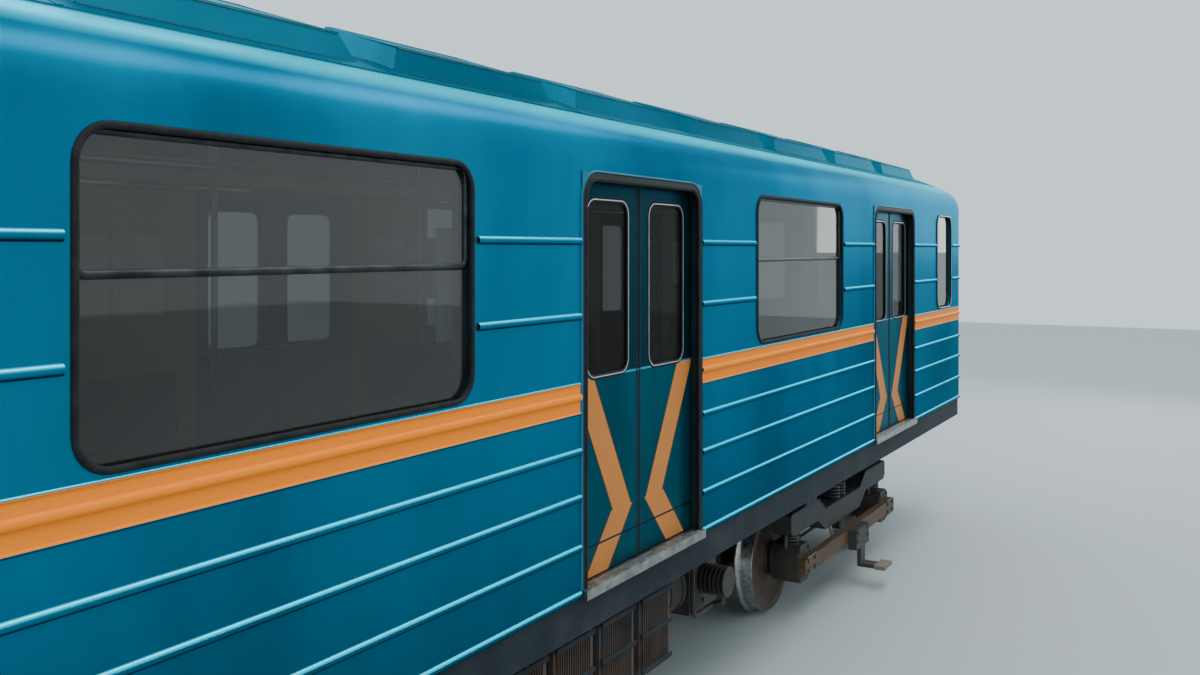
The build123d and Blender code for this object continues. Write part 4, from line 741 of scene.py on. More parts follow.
# The saloon: a brown linoleum floor, one row of opal lamps in metal rims along the ceiling, and blank
# notice sheets in thin frames on the walls between doors and windows.
LINOLEUM = ((0.060, 0.028, 0.016, 1), (0.105, 0.050, 0.028, 1))
FLOOR_UNDERSIDE = (0.018, 0.019, 0.020, 1)
OPAL = ((0.70, 0.68, 0.60, 1), (0.80, 0.78, 0.70, 1))
LAMP_GLOW = (1.0, 0.93, 0.78, 1)
SHEET = ((0.55, 0.56, 0.54, 1), (0.72, 0.73, 0.70, 1))
LAMP_COUNT = 12
LAMP_PITCH = 1.50917
LAMP_HALF = (0.450, 0.120)
LAMP_RIM_Z = 3.500
SHEET_HALF = (0.16, 0.22)
SHEET_Z = 2.62
SHEET_FRONT = 1.2260
SHEET_BACK = 1.2310
SHEETS_FROM_DOOR = (1.02, 1.36)
SHEET_LIMIT_X = 8.1
linoleum = finish("linoleum", LINOLEUM, 8, gloss=(0.35, 0.55), bump=0.05, grain=150)
opal = finish("opal_glass", OPAL, 5, gloss=(0.2, 0.3), bump=0.0, emission_strength=0.9, emission_color=LAMP_GLOW)
paper = finish("blank_paper", SHEET, 6, gloss=(0.5, 0.7), bump=0.02)
layer(linoleum, below(slope(linoleum), -0.5), FLOOR_UNDERSIDE)
paint(("floor",), linoleum)
paint(("ceiling_lamps",), opal)
lamp_rims = []
for i in range(LAMP_COUNT):
    x = (i - (LAMP_COUNT - 1) / 2) * LAMP_PITCH
    outline = rounded(x - LAMP_HALF[0], x + LAMP_HALF[0], -LAMP_HALF[1], LAMP_HALF[1], 0.02, 3)
    lamp_rims.append([(*point, LAMP_RIM_Z) for point in outline])
bead("lamp_rims", lamp_rims, (0.009, 0.006), bright_trim, "lamp_cover", closed=True, outward=(0, 0, 1), sides=6)
sheet_shape = bmesh.new()
sheet_frames = []
sheet_xs = [x + way * reach for x in DOOR_XS for way in (1, -1) for reach in SHEETS_FROM_DOOR]
sheet_xs = [x for x in sheet_xs if abs(x) < SHEET_LIMIT_X]
for side in (1, -1):
    for x in sheet_xs:
        span = (x - SHEET_HALF[0], x + SHEET_HALF[0], SHEET_Z - SHEET_HALF[1], SHEET_Z + SHEET_HALF[1])
        outline = rounded(*span, 0.012, 2)
        front, back = [
            [sheet_shape.verts.new(point) for point in on_side(outline, side * y)] for y in (SHEET_FRONT, SHEET_BACK)
        ]
        sheet_shape.faces.new(front)
        sheet_shape.faces.new(back[::-1])
        for i in range(len(front)):
            j = (i + 1) % len(front)
            sheet_shape.faces.new((front[i], front[j], back[j], back[i]))
        sheet_frames.append(on_side(outline, side * SHEET_FRONT))
sheet_mesh = bpy.data.meshes.new("notice_sheets")
sheet_shape.to_mesh(sheet_mesh)
sheet_shape.free()
sheet_mesh.materials.append(paper)
shown("notice_sheets", sheet_mesh, "carbody", 30)
bead("notice_frames", sheet_frames, (0.006, 0.005), bright_trim, "polished_rail", closed=True, sides=6)

# Handrails: bent stainless tube, a rail along each bench on two hangers and a post at each bench end
# that faces a doorway, with round flanges where they meet the ceiling.
RAIL_RADIUS = 0.017
HANGER_RADIUS = 0.012
RAIL_Y = 0.640
RAIL_Z = 3.068
POST_Y = 0.830
SEAT_TOP = 1.678
CEILING_AT_RAIL = 3.4655
CEILING_AT_POST = 3.4090
HANGER_INSET = 0.25
POST_INSET = 0.06
POST_LIMIT_X = 9.17
FLANGE_RADIUS = 0.028
BENCHES = ((-9.290, -7.655), (-6.085, -3.075), (-1.505, 1.505), (3.075, 6.085), (7.655, 9.290))
POLISHED = ((0.48, 0.48, 0.47, 1), (0.64, 0.64, 0.62, 1))
polished = finish("polished_rail", POLISHED, 16, gloss=(0.12, 0.28), bump=0.03, grain=200, metallic=1.0)


def upright(x, y, low, high):
    return [(x, y, low), (x, y, high)]


rails, hangers, posts, flanges = [], [], [], []
for side in (1, -1):
    rail_y, post_y = side * RAIL_Y, side * POST_Y
    for start, stop in BENCHES:
        rails.append([(start, rail_y, RAIL_Z), (stop, rail_y, RAIL_Z)])
        for x in (start + HANGER_INSET, stop - HANGER_INSET):
            hangers.append(upright(x, rail_y, RAIL_Z, CEILING_AT_RAIL))
            flanges.append(upright(x, rail_y, CEILING_AT_RAIL - 0.014, CEILING_AT_RAIL))
            flanges.append(upright(x, rail_y, RAIL_Z - 0.020, RAIL_Z + 0.024))
        for x in (start + POST_INSET, stop - POST_INSET):
            if abs(x) < POST_LIMIT_X:
                posts.append(upright(x, post_y, SEAT_TOP, CEILING_AT_POST))
                flanges.append(upright(x, post_y, CEILING_AT_POST - 0.016, CEILING_AT_POST))
rail_piece = bead("saloon_rails", rails + posts, RAIL_RADIUS, polished, "polished_rail", sides=16)
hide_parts("handrails")
bead("rail_hangers", hangers, HANGER_RADIUS, polished, "polished_rail", sides=12)
bead("rail_flanges", flanges, FLANGE_RADIUS, polished, "polished_rail", sides=16)

# Benches: plinths of brown laminate with heater grilles in their fronts, and sprung squabs and
# backrests in brown leathercloth, each swollen by its stuffing between the seams of its sections.
BENCH_LAMINATE = ((0.090, 0.045, 0.022, 1), (0.150, 0.080, 0.040, 1))
LEATHERCLOTH = ((0.070, 0.022, 0.012, 1), (0.120, 0.040, 0.022, 1))
SQUAB = (0.490, 0.430, 0.060)
SQUAB_PLACE = (1.000, 1.6285)
BACKREST = (0.490, 0.050, 0.395)
BACKREST_PLACE = (1.202, 1.885)
BACKREST_TAPER = 0.45
SECTION_PITCH = 0.50167
# Sections on a bench of each length
SECTIONS = {3.01: 6, 1.635: 3}
# The seams' piping over a squab and up a backrest, as Y and Z
SQUAB_PIPING = ((1.19, 1.652), (0.81, 1.652), (0.789, 1.638), (0.784, 1.604))
BACKREST_PIPING = ((1.184, 1.700), (1.201, 2.072), (1.222, 2.080))
PIPING_RADIUS = 0.0065
VOXEL = 0.006
STUFFING_PRESSURE = 4.0
MOST_SWELLING = 0.012
FACES_KEPT = 0.06
CLOTH_FRAMES = 20
HELD_EDGE = 0.004
HELD_BACK = 0.002
GRILLE_BAR = (0.010, 0.006, 0.220)
GRILLE_STEP = 0.030
GRILLE_Z = 1.400
GRILLE_INSET = 0.08
PLINTH_FRONT = 0.810
bench_laminate = finish("bench_laminate", BENCH_LAMINATE, 3, (6, 1, 1), (0.3, 0.45), 0.05)
leathercloth = finish("leathercloth", LEATHERCLOTH, 7, gloss=(0.35, 0.5), bump=0.35, grain=350, sheen_weight=0.15)
paint(("bench_frames",), bench_laminate)


def swollen(name, size, held, taper=0.0):
    """One stuffed section: a rounded block blown up by cloth simulation, held where it rests or is sewn."""
    shape = bmesh.new()
    bmesh.ops.create_cube(shape, size=1)
    for vertex in shape.verts:
        x, y, z = vertex.co
        thinner = 1 - taper * (z + 0.5)
        vertex.co = Vector((x * size[0], size[1] * (0.5 - (0.5 - y) * thinner), z * size[2]))
    bmesh.ops.bevel(shape, geom=shape.edges[:], offset=min(size) * 0.3, segments=3, affect="EDGES", profile=0.5)
    mesh = bpy.data.meshes.new(name)
    shape.to_mesh(mesh)
    shape.free()
    pad = bpy.data.objects.new(name, mesh)
    bpy.context.scene.collection.objects.link(pad)
    remesh = pad.modifiers.new("remesh", "REMESH")
    remesh.mode = "VOXEL"
    remesh.voxel_size = VOXEL
    mesh = evaluated(pad)
    pad.modifiers.clear()
    pad.data = mesh
    before = [vertex.co.copy() for vertex in mesh.vertices]
    fixed = pad.vertex_groups.new(name="held")
    fixed.add([vertex.index for vertex in mesh.vertices if held(vertex.co)], 1.0, "REPLACE")
    cloth = pad.modifiers.new("cloth", "CLOTH")
    cloth.settings.use_pressure = True
    cloth.settings.uniform_pressure_force = STUFFING_PRESSURE
    cloth.settings.effector_weights.gravity = 0
    cloth.settings.quality = 4
    cloth.settings.tension_stiffness = 8
    cloth.settings.compression_stiffness = 8
    cloth.settings.vertex_group_mass = "held"
    cloth.collision_settings.use_collision = False
    cloth.point_cache.frame_start = 1
    cloth.point_cache.frame_end = CLOTH_FRAMES
    for moment in range(1, CLOTH_FRAMES + 1):
        bpy.context.scene.frame_set(moment)
    mesh = evaluated(pad)
    bpy.context.scene.frame_set(1)
    pad.modifiers.clear()
    for vertex, start in zip(mesh.vertices, before):
        move = vertex.co - start
        vertex.co = start + move * min(1.0, MOST_SWELLING / max(move.length, 1e-6))
    pad.data = mesh
    thinned = pad.modifiers.new("thinned", "DECIMATE")
    thinned.ratio = FACES_KEPT
    mesh = evaluated(pad)
    bpy.data.objects.remove(pad)
    return mesh


def row_tree():
    """A base shape repeated along a step from a place."""
    tree, given = new_tree("row", Count="Int", Place="Vector", Step="Vector", Stretch="Vector", Finish="Material")
    places = {"Count": given["Count"], "Start Location": given["Place"], "Offset": given["Step"]}
    line = made_by(tree, "MeshLine", places, mode="OFFSET")
    bases = {"Points": line, "Instance": given["Base"], "Scale": given["Stretch"]}
    copies = made_by(tree, "InstanceOnPoints", bases)
    close_tree(tree, copies, given["Finish"])
    return tree


def squab_held(point):
    return abs(point.x) > SQUAB[0] / 2 - HELD_EDGE or point.z < HELD_BACK - SQUAB[2] / 2


def backrest_held(point):
    return abs(point.x) > BACKREST[0] / 2 - HELD_EDGE or point.y > BACKREST[1] / 2 - HELD_BACK


row = row_tree()
squab_section = swollen("squab_section", SQUAB, squab_held)
backrest_section = swollen("backrest_section", BACKREST, backrest_held, BACKREST_TAPER)
stuffed = (("squab", squab_section, SQUAB_PLACE), ("backrest", backrest_section, BACKREST_PLACE))
piping, grille_starts = [], {length: [] for length in SECTIONS}
for side_name, side in SIDES:
    for number, (start, stop) in enumerate(BENCHES, 1):
        count = SECTIONS[round(stop - start, 3)]
        pitch = (stop - start) / count
        for kind, section, (y, z) in stuffed:
            values = {
                "Count": count, "Place": (start + pitch / 2, side * y, z), "Step": (pitch, 0, 0),
                "Stretch": (pitch / SECTION_PITCH, side, 1), "Finish": leathercloth,
            }
            pad = grown(f"{kind}_{side_name}_{number}", section.copy(), row, values, "carbody", 80)
            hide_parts("bench_cushions")
        for i in range(1, count):
            x = start + i * pitch
            piping += [[(x, side * y, z) for y, z in line] for line in (SQUAB_PIPING, BACKREST_PIPING)]
        grille_starts[round(stop - start, 3)].append([(start + GRILLE_INSET, side * PLINTH_FRONT, GRILLE_Z)])
bead("seat_piping", piping, PIPING_RADIUS, leathercloth, "seat_covering", outward=(1, 0, 0), smooth=80)
for length, starts in grille_starts.items():
    bars = int((length - 2 * GRILLE_INSET) / GRILLE_STEP)
    slatted(f"heater_grilles_{bars}", starts, GRILLE_BAR, bars, (GRILLE_STEP, 0, 0), polished)

# Between the cars: a hinged steel door in the body's blue with a round-cornered pane and lever handles,
# grab handles beside it, a rubber seal round it, a drip moulding over it, and beads up the body's corners.
END_PANE = (0.190, 2.158, 2.998, 0.070)
END_DOOR_OUT = 9.338
END_DOOR_IN = 9.303
END_DOOR_HALF = 0.300
END_DOOR_TOP = 3.088
HANDLE_Z = 2.060
GRAB_Y = 0.420
GRAB_SPAN = (1.55, 2.45)
GRAB_OUT = 0.055
GRAB_BEND = 0.02
LEVER_Y = 0.235
LEVER_OUT = 0.045
LEVER_LENGTH = 0.11
# The drip moulding from end to end, as Y and Z
DRIP = ((-0.40, 3.10), (-0.34, 3.118), (0.34, 3.118), (0.40, 3.10))
# X, Y and top of the bead up each corner
CORNER = (9.362, 1.345, 3.10)
END_GLASS_X = (9.3215, 9.3285)
end_door_paint = finish("end_door_paint", LEAF_BLUE, 2.5, (1, 1, 0.3), (0.25, 0.4), 0.03, 40)
door_x, door_y, door_z = axes(end_door_paint)
glaze(end_door_paint, between(away(door_x), *END_GLASS_X), door_y, door_z, END_PANE)
paint(("end_door",), end_door_paint)
half, bottom, top, radius = END_PANE
grabs, drips, jamb_seals = [], [], []
for end_name, end in ENDS:
    body = f"end_door_{end_name}"
    pane = rounded(-half, half, bottom, top, radius)
    rubbers = [on_end(pane, end * x) for x in (END_DOOR_OUT, END_DOOR_IN)]
    bead(
        f"{body}_pane_rubbers", rubbers, (0.013, 0.006), seal_rubber, "dark_trim",
        body=body, closed=True, outward=(1, 0, 0), sides=10,
    )
    lever_y = LEVER_Y * end
    levers = []
    for x, out in ((END_DOOR_OUT, LEVER_OUT), (END_DOOR_IN, -LEVER_OUT)):
        knee = end * (x + out)
        tip_y = lever_y - end * LEVER_LENGTH
        levers.append([(end * x, lever_y, HANDLE_Z), (knee, lever_y, HANDLE_Z), (knee, tip_y, HANDLE_Z)])
    bead(f"{body}_levers", levers, 0.009, polished, "polished_rail", body=body, outward=(0, 0, 1), sides=16)
    face, near, out = [end * (BODY_END + GRAB_OUT * part) for part in (0, 0.6, 1)]
    low, high = GRAB_SPAN
    for y in (GRAB_Y, -GRAB_Y):
        grip = [(face, y, low), (near, y, low), (out, y, low + GRAB_BEND)]
        grip += [(out, y, high - GRAB_BEND), (near, y, high), (face, y, high)]
        grabs.append(grip)
    drips.append(on_end(DRIP, end * (BODY_END + 0.002)))
    jamb = [(face, -END_DOOR_HALF, SILL_TOP), (face, -END_DOOR_HALF, END_DOOR_TOP)]
    jamb += [(x, -y, z) for x, y, z in reversed(jamb)]
    jamb_seals.append(jamb)
corner_lines = [
    upright(end * CORNER[0], side * CORNER[1], SKIN_BOTTOM + 0.01, CORNER[2]) for end in (1, -1) for side in (1, -1)
]
bead("end_corner_beads", corner_lines, (0.010, 0.008), body_enamel, "body_paint", level=True)
bead("end_grab_handles", grabs, 0.014, portal_paint, "dark_trim", sides=16)
bead("end_drip_mouldings", drips, (0.010, 0.016), body_enamel, "body_paint", outward=(1, 0, 0), sides=10)
bead("end_doorway_rubbers", jamb_seals, (0.012, 0.009), seal_rubber, "dark_trim", outward=(1, 0, 0), sides=10)

# Underframe: welded steel sections in black paint under road dust, with brake and main pipes and cable
# conduits clipped along the middle between the bogies, and bolt heads on the headstocks.
UNDER_PAINT = ((0.006, 0.011, 0.016, 1), (0.012, 0.020, 0.028, 1), (0.028, 0.032, 0.036, 1))
SOOT = (0.045, 0.035, 0.026, 1)
PIPE_PAINT = ((0.020, 0.020, 0.020, 1), (0.060, 0.050, 0.042, 1))
# Each pipe's Y and radius
PIPES = ((-0.180, 0.021), (-0.110, 0.016), (0.060, 0.013), (0.110, 0.013), (0.160, 0.013), (0.230, 0.026))
PIPE_Z = 1.012
PIPE_REACH = 4.55
MEMBER_PITCH = 0.7875
MEMBER_BOTTOM = 1.038
PIPE_CLIP = (0.045, 0.50, 0.006)
HEADSTOCK_X = 9.372
HEADSTOCK_BOLTS_Y = (0.20, 0.28, 0.85, 0.95, 1.05)
HEADSTOCK_BOLTS_Z = (1.05, 1.13)
under_paint = finish("under_paint", UNDER_PAINT, 4, gloss=(0.55, 0.8), bump=0.3, grain=90, specular_ior_level=0.2)
under_place = node(under_paint, "TexCoord").outputs["Object"]
fallen = node(under_paint, "TexNoise", {"Vector": under_place, "Scale": 7, "Detail": 8}).outputs["Fac"]
layer(under_paint, both(rising(slope(under_paint), 0.2, 0.9, 0.7), fallen), SOOT)
paint(("underframe", "draft_gear"), under_paint)
pipe_paint = finish("pipe_paint", PIPE_PAINT, 6, (0.4, 3, 3), (0.5, 0.75), 0.2, 120)
for radius in sorted({radius for _, radius in PIPES}):
    along = (-PIPE_REACH, -0.3, 0.3, PIPE_REACH)
    lines = [[(x, y, PIPE_Z) for x in along] for y, size in PIPES if size == radius]
    name = f"underfloor_pipes_{round(radius * 2000)}"
    bead(name, lines, radius, pipe_paint, "frame_paint", outward=(0, 0, 1), sides=16)
clip_starts = [[(place * MEMBER_PITCH, 0.025, PIPE_Z - 0.028)] for place in range(-5, 6)]
slatted("pipe_clips", clip_starts, PIPE_CLIP, 2, (0, 0, 0.056), under_paint)


def studs_tree():
    """Bolt heads: a washer and a six-sided head on every base point, turned to face one way."""
    tree, given = new_tree("studs", Radius="Float", Height="Float", Turn="Vector", Finish="Material")
    size = {"Vertices": 6, "Radius": given["Radius"], "Depth": given["Height"]}
    head = made_by(tree, "MeshCylinder", size)
    wide = step(tree, "ShaderNodeMath", {0: given["Radius"], 1: 1.35}, operation="MULTIPLY").outputs[0]
    thin = step(tree, "ShaderNodeMath", {0: given["Height"], 1: 0.3}, operation="MULTIPLY").outputs[0]
    washer = made_by(tree, "MeshCylinder", {"Vertices": 12, "Radius": wide, "Depth": thin})
    joined = tree.nodes.new("GeometryNodeJoinGeometry")
    tree.links.new(head, joined.inputs[0])
    tree.links.new(washer, joined.inputs[0])
    turn = step(tree, "FunctionNodeEulerToRotation", {"Euler": given["Turn"]}).outputs[0]
    copies = {"Points": given["Base"], "Instance": joined.outputs[0], "Rotation": turn}
    placed = made_by(tree, "InstanceOnPoints", copies)
    close_tree(tree, placed, given["Finish"])
    return tree


def bolts(name, points, radius, height, turn, body="carbody"):
    """Bolt heads on points as one piece."""
    values = {"Radius": radius, "Height": height, "Turn": turn, "Finish": bolt_steel}
    return grown(name, paths(points), studs, values, body, 30)


studs = studs_tree()
ALONG_X = (0, math.pi / 2, 0)
ALONG_Y = (math.pi / 2, 0, 0)
UPRIGHT = (0, 0, 0)
BOLT_STEEL = ((0.030, 0.028, 0.026, 1), (0.085, 0.070, 0.058, 1))
bolt_steel = finish("bolt_steel", BOLT_STEEL, 30, gloss=(0.45, 0.7), bump=0.2)
headstock_bolts = [
    [(end * HEADSTOCK_X, side * y, z)]
    for end in (1, -1) for side in (1, -1) for y in HEADSTOCK_BOLTS_Y for z in HEADSTOCK_BOLTS_Z
]
bolts("headstock_bolts", headstock_bolts, 0.014, 0.012, ALONG_X)

# Equipment cases: sheet-steel boxes in black-grey paint whose lids carry a pressed swage, a hinge tube
# along the top, clamps along the bottom and lifting handles.
# Columns: side, first X, last X, outer face, bottom
CASES = (
    (1, -4.0950, -2.2050, 1.190, 0.488), (1, -1.9294, -0.4331, 1.180, 0.578), (1, -0.3544, 1.1419, 1.180, 0.448),
    (1, 1.5159, 2.4216, 1.170, 0.628), (-1, -4.1934, -2.8941, 1.170, 0.608), (1, 3.0319, 4.0556, 1.160, 0.588),
)
LID_TOP = 0.968
LID_MARGIN = 0.040
LID_FACE = 0.022
LID_HANDLE = (0.06, 0.035)
LID_CLAMP = (0.040, 0.014, 0.075)
CASE_PAINT = ((0.020, 0.024, 0.028, 1), (0.042, 0.046, 0.050, 1))
case_paint = finish("case_paint", CASE_PAINT, 3, gloss=(0.45, 0.7), bump=0.25, grain=110)
dusty(case_paint, SOOT, 0.45, 1.05, 0.75, 4.0)
paint(("floor_cases",), case_paint)
swages, hinge_tubes, lid_handles, clamp_points, lid_bolts = [], [], [], [], []
for side, first, last, face, bottom in CASES:
    left, right = first + LID_MARGIN, last - LID_MARGIN
    low = bottom + LID_MARGIN
    y = side * (face + LID_FACE)
    swages.append(on_side(rounded(left + 0.05, right - 0.05, low + 0.05, LID_TOP - 0.05, 0.04), y))
    hinge_tubes.append([(left + 0.02, y, LID_TOP), (right - 0.02, y, LID_TOP)])
    for place in (0.25, 0.75):
        x = left + (right - left) * place
        z = low + 0.13
        half, out = LID_HANDLE[0], y + side * LID_HANDLE[1]
        lid_handles.append([(x - half, y, z), (x - half, out, z), (x + half, out, z), (x + half, y, z)])
    count = max(3, int((right - left) / 0.4))
    for i in range(count):
        x = left + 0.08 + (right - left - 0.16) * i / (count - 1)
        clamp_points.append([(x, y + side * 0.004, low + 0.012)])
        lid_bolts.append([(x, y + side * 0.012, low + 0.022)])
bead("case_lid_swages", swages, (0.012, 0.006), case_paint, "equipment_paint", closed=True)
bead("case_hinge_tubes", hinge_tubes, 0.010, case_paint, "equipment_paint")
bead("case_handles", lid_handles, 0.006, bolt_steel, "equipment_paint", outward=(0, 0, 1))
slatted("case_clamps", clamp_points, LID_CLAMP, 1, (0, 0, 0), case_paint)
bolts("case_clamp_bolts", lid_bolts, 0.010, 0.012, ALONG_Y)

# Starting resistors: six open boxes of cast-iron grids, blued and rusted by heat, whose plates stand on
# edge behind three guard strips on each face.
RESISTOR_X = (0.3741, 2.7759)
RESISTOR_Y = (-1.230, -0.650)
RESISTOR_Z = (0.528, 0.998)
RESISTOR_BOXES = 6
RESISTOR_SPACE = 0.060
PLATE = (0.005, 0.020, 0.380)
PLATE_STEP = 0.020
PLATE_Z = 0.745
GUARD_OUT = 0.016
GRID_IRON = ((0.024, 0.020, 0.020, 1), (0.070, 0.040, 0.026, 1), (0.045, 0.045, 0.055, 1))
grid_iron = finish("grid_iron", GRID_IRON, 6, gloss=(0.5, 0.75), bump=0.3)
paint(("resistor",), grid_iron)
box_pitch = (RESISTOR_X[1] - RESISTOR_X[0] + RESISTOR_SPACE) / RESISTOR_BOXES
box_length = box_pitch - RESISTOR_SPACE
plate_count = int((box_length - 0.04) / PLATE_STEP)
for face_name, face in (("outer", RESISTOR_Y[0] - 0.004), ("inner", RESISTOR_Y[1] + 0.004)):
    starts = [[(RESISTOR_X[0] + i * box_pitch + 0.025, face, PLATE_Z)] for i in range(RESISTOR_BOXES)]
    name = f"resistor_plates_{face_name}"
    slatted(name, starts, PLATE, plate_count, (PLATE_STEP, 0, 0), grid_iron)
guard_lines = []
for i in range(RESISTOR_BOXES):
    left = RESISTOR_X[0] + i * box_pitch
    for z in (RESISTOR_Z[0] + 0.03, PLATE_Z, RESISTOR_Z[1] - 0.07):
        for y in (RESISTOR_Y[0] - GUARD_OUT, RESISTOR_Y[1] + GUARD_OUT):
            guard_lines.append([(left + 0.005, y, z), (left + box_length - 0.005, y, z)])
bead("resistor_guards", guard_lines, (0.014, 0.004), under_paint, "resistor_steel")

# Air tanks: rolled and welded steel drums with dished ends, black, held up to the cross members by
# band straps, each with a drain cock under its middle.
# Columns: middle X, half its length, Y, height of the axis, radius
TANKS = ((-1.96875, 0.8465, -0.950, 0.778, 0.200), (-1.96875, 0.7480, -0.480, 0.813, 0.165))
TANK_PITCH = 0.39375
STRAP_HALF = 0.030
STRAP_PLATE = 0.006
# Turned profiles: the dish as depth and part of the radius, the drain cock as height and radius
DISH = ((0, 0), (0.004, 0.35), (0.018, 0.65), (0.042, 0.87), (0.075, 0.97), (0.110, 1.0))
DRAIN_COCK = (
    (-0.050, 0), (-0.050, 0.009), (-0.030, 0.009), (-0.028, 0.016), (-0.008, 0.016), (-0.006, 0.011), (0.004, 0.011),
    (0.004, 0),
)


def turned(shape, centre, axis, profile, sides, closed=False):
    """Adds a turned solid to a shape: its profile is (place along the axis, radius) from end to end."""
    way = Vector((0, 0, 1)).rotation_difference(Vector(axis)).to_matrix()
    rings = []
    for along, radius in profile:
        count = 1 if radius == 0 else sides
        ring = []
        for i in range(count):
            angle = 2 * math.pi * i / sides
            far = radius(angle) if callable(radius) else radius
            spot = way @ Vector((far * math.cos(angle), far * math.sin(angle), along))
            ring.append(shape.verts.new(Vector(centre) + spot))
        rings.append(ring)
    for low, high in zip(rings, rings[1:] + rings[:1] if closed else rings[1:]):
        for i in range(sides):
            j = (i + 1) % sides
            corners = (low[i % len(low)], low[j % len(low)], high[j % len(high)], high[i % len(high)])
            corners = list(dict.fromkeys(corners))
            if len(corners) > 2:
                shape.faces.new(corners)


def block(shape, x, y, z):
    """Adds a box between two corners, each given as (low, high) along its axis."""
    for vertex in bmesh.ops.create_cube(shape, size=1)["verts"]:
        vertex.co = Vector([span[0] if c < 0 else span[1] for span, c in zip((x, y, z), vertex.co)])


def piece(shape, name, material, body, slot, replaces=(), bevel=0.0):
    """Closes a shape into a piece of one material, its edges softened, in place of some CAD nodes."""
    mesh = bpy.data.meshes.new(name)
    shape.to_mesh(mesh)
    shape.free()
    mesh.materials.append(material)
    made = shown(name, mesh, body, 30)
    if bevel:
        softened = made.modifiers.new("softened", "BEVEL")
        softened.width = bevel
        softened.segments = 2
        softened.limit_method = "ANGLE"
        softened.angle_limit = math.radians(35)
        softened.harden_normals = True
    if replaces:
        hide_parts(*replaces)
    return made


shape = bmesh.new()
for middle, half, y, z, radius in TANKS:
    profile = [(place - half, radius * part) for place, part in DISH]
    profile += [(0.112 - half, radius + 0.003), (0.124 - half, radius + 0.003), (0.126 - half, radius)]
    profile += [(-0.006, radius), (-0.004, radius + 0.003)]
    profile += [(-along, reach) for along, reach in reversed(profile)]
    turned(shape, (middle, y, z), (1, 0, 0), profile, 40)
    turned(shape, (middle, y, z - radius), (0, 0, 1), DRAIN_COCK, 12)
    strap_out = radius + STRAP_PLATE
    for x in (middle - TANK_PITCH, middle + TANK_PITCH):
        band = [(-STRAP_HALF, radius), (-STRAP_HALF, strap_out), (STRAP_HALF, strap_out), (STRAP_HALF, radius)]
        turned(shape, (x, y, z), (1, 0, 0), band, 40, closed=True)
        for side in (1, -1):
            plate_y = sorted((y + side * radius, y + side * strap_out))
            block(shape, (x - STRAP_HALF, x + STRAP_HALF), plate_y, (z, MEMBER_BOTTOM))
        block(shape, (x - STRAP_HALF, x + STRAP_HALF), (y - radius, y + radius), (MEMBER_BOTTOM - 0.012, MEMBER_BOTTOM))
piece(shape, "air_tanks", under_paint, "carbody", "equipment_paint", ["air_reservoirs"])

# The compressor set: a cast motor, a crankcase with bolted covers and two finned heads, in grey-black
# paint with oily dust, hung under a pressed channel from the cross members.
COMPRESSOR_Y = -0.800
COMPRESSOR_Z = 0.678
COMPRESSOR_MOTOR_X = 3.305
CRANKCASE = ((3.544, 3.944), (-0.980, -0.620), (0.488, 0.888))
HEAD_X = 3.744
HEAD_REACH = (0.180, 0.360)
HEAD_RADII = (0.068, 0.095)
HEAD_FINS = 6
HANGERS_X = (3.150, 3.9375)
CHANNEL = ((3.066, 3.966), (-0.980, -0.620), (0.887, 0.899))
CHANNEL_LIPS = ((-0.980, -0.968), (-0.632, -0.620))
TERMINAL_BOX = ((3.245, 3.365), (-0.860, -0.740), (0.840, 0.890))
COMPRESSOR_MOTOR = (
    (-0.240, 0), (-0.240, 0.070), (-0.222, 0.125), (-0.190, 0.160), (-0.150, 0.168), (-0.146, 0.188), (-0.128, 0.188),
    (-0.124, 0.178), (-0.010, 0.178), (-0.006, 0.188), (0.010, 0.188), (0.014, 0.178), (0.150, 0.178), (0.154, 0.188),
    (0.182, 0.188), (0.186, 0.165), (0.240, 0.160), (0.240, 0),
)
# The delivery pipe's bends as distance behind the heads, Y and Z
DELIVERY = (
    (0, -1.12, 0.600), (0, -1.12, 0.545), (0, -1.05, 0.520), (0.26, -1.05, 0.520), (0.30, -1.05, 0.56),
    (0.30, -1.05, 0.96), (0.30, -1.02, 1.000), (0.30, -0.20, 1.000),
)
CAST_STEEL = ((0.016, 0.015, 0.015, 1), (0.050, 0.038, 0.028, 1))
cast_steel = finish("cast_steel", CAST_STEEL, 9, gloss=(0.5, 0.8), bump=0.5, grain=160)
shape = bmesh.new()
turned(shape, (COMPRESSOR_MOTOR_X, COMPRESSOR_Y, COMPRESSOR_Z), (1, 0, 0), COMPRESSOR_MOTOR, 40)
block(shape, *CRANKCASE)
for side in (1, -1):
    fins = [(HEAD_REACH[0] - 0.01, 0), (HEAD_REACH[0] - 0.01, HEAD_RADII[1])]
    space = (HEAD_REACH[1] - HEAD_REACH[0]) / HEAD_FINS
    for i in range(HEAD_FINS):
        start = HEAD_REACH[0] + i * space
        fins += [(start, HEAD_RADII[1]), (start + 0.001, HEAD_RADII[0]), (start + space * 0.6, HEAD_RADII[0])]
        fins += [(start + space * 0.62, HEAD_RADII[1]), (start + space - 0.001, HEAD_RADII[1])]
    fins.append((HEAD_REACH[1] - 0.001, 0))
    turned(shape, (HEAD_X, COMPRESSOR_Y, COMPRESSOR_Z), (0, side, 0), fins, 32)
block(shape, *CHANNEL)
for edge in CHANNEL_LIPS:
    block(shape, CHANNEL[0], edge, (0.895, 0.948))
block(shape, *TERMINAL_BOX)
for x in HANGERS_X:
    strap_x = (x - STRAP_HALF, x + STRAP_HALF)
    for side in (1, -1):
        hanger_y = sorted((COMPRESSOR_Y + side * 0.020, COMPRESSOR_Y + side * 0.030))
        block(shape, strap_x, hanger_y, (0.897, MEMBER_BOTTOM))
    block(shape, strap_x, (COMPRESSOR_Y - 0.030, COMPRESSOR_Y + 0.030), (MEMBER_BOTTOM - 0.012, MEMBER_BOTTOM))
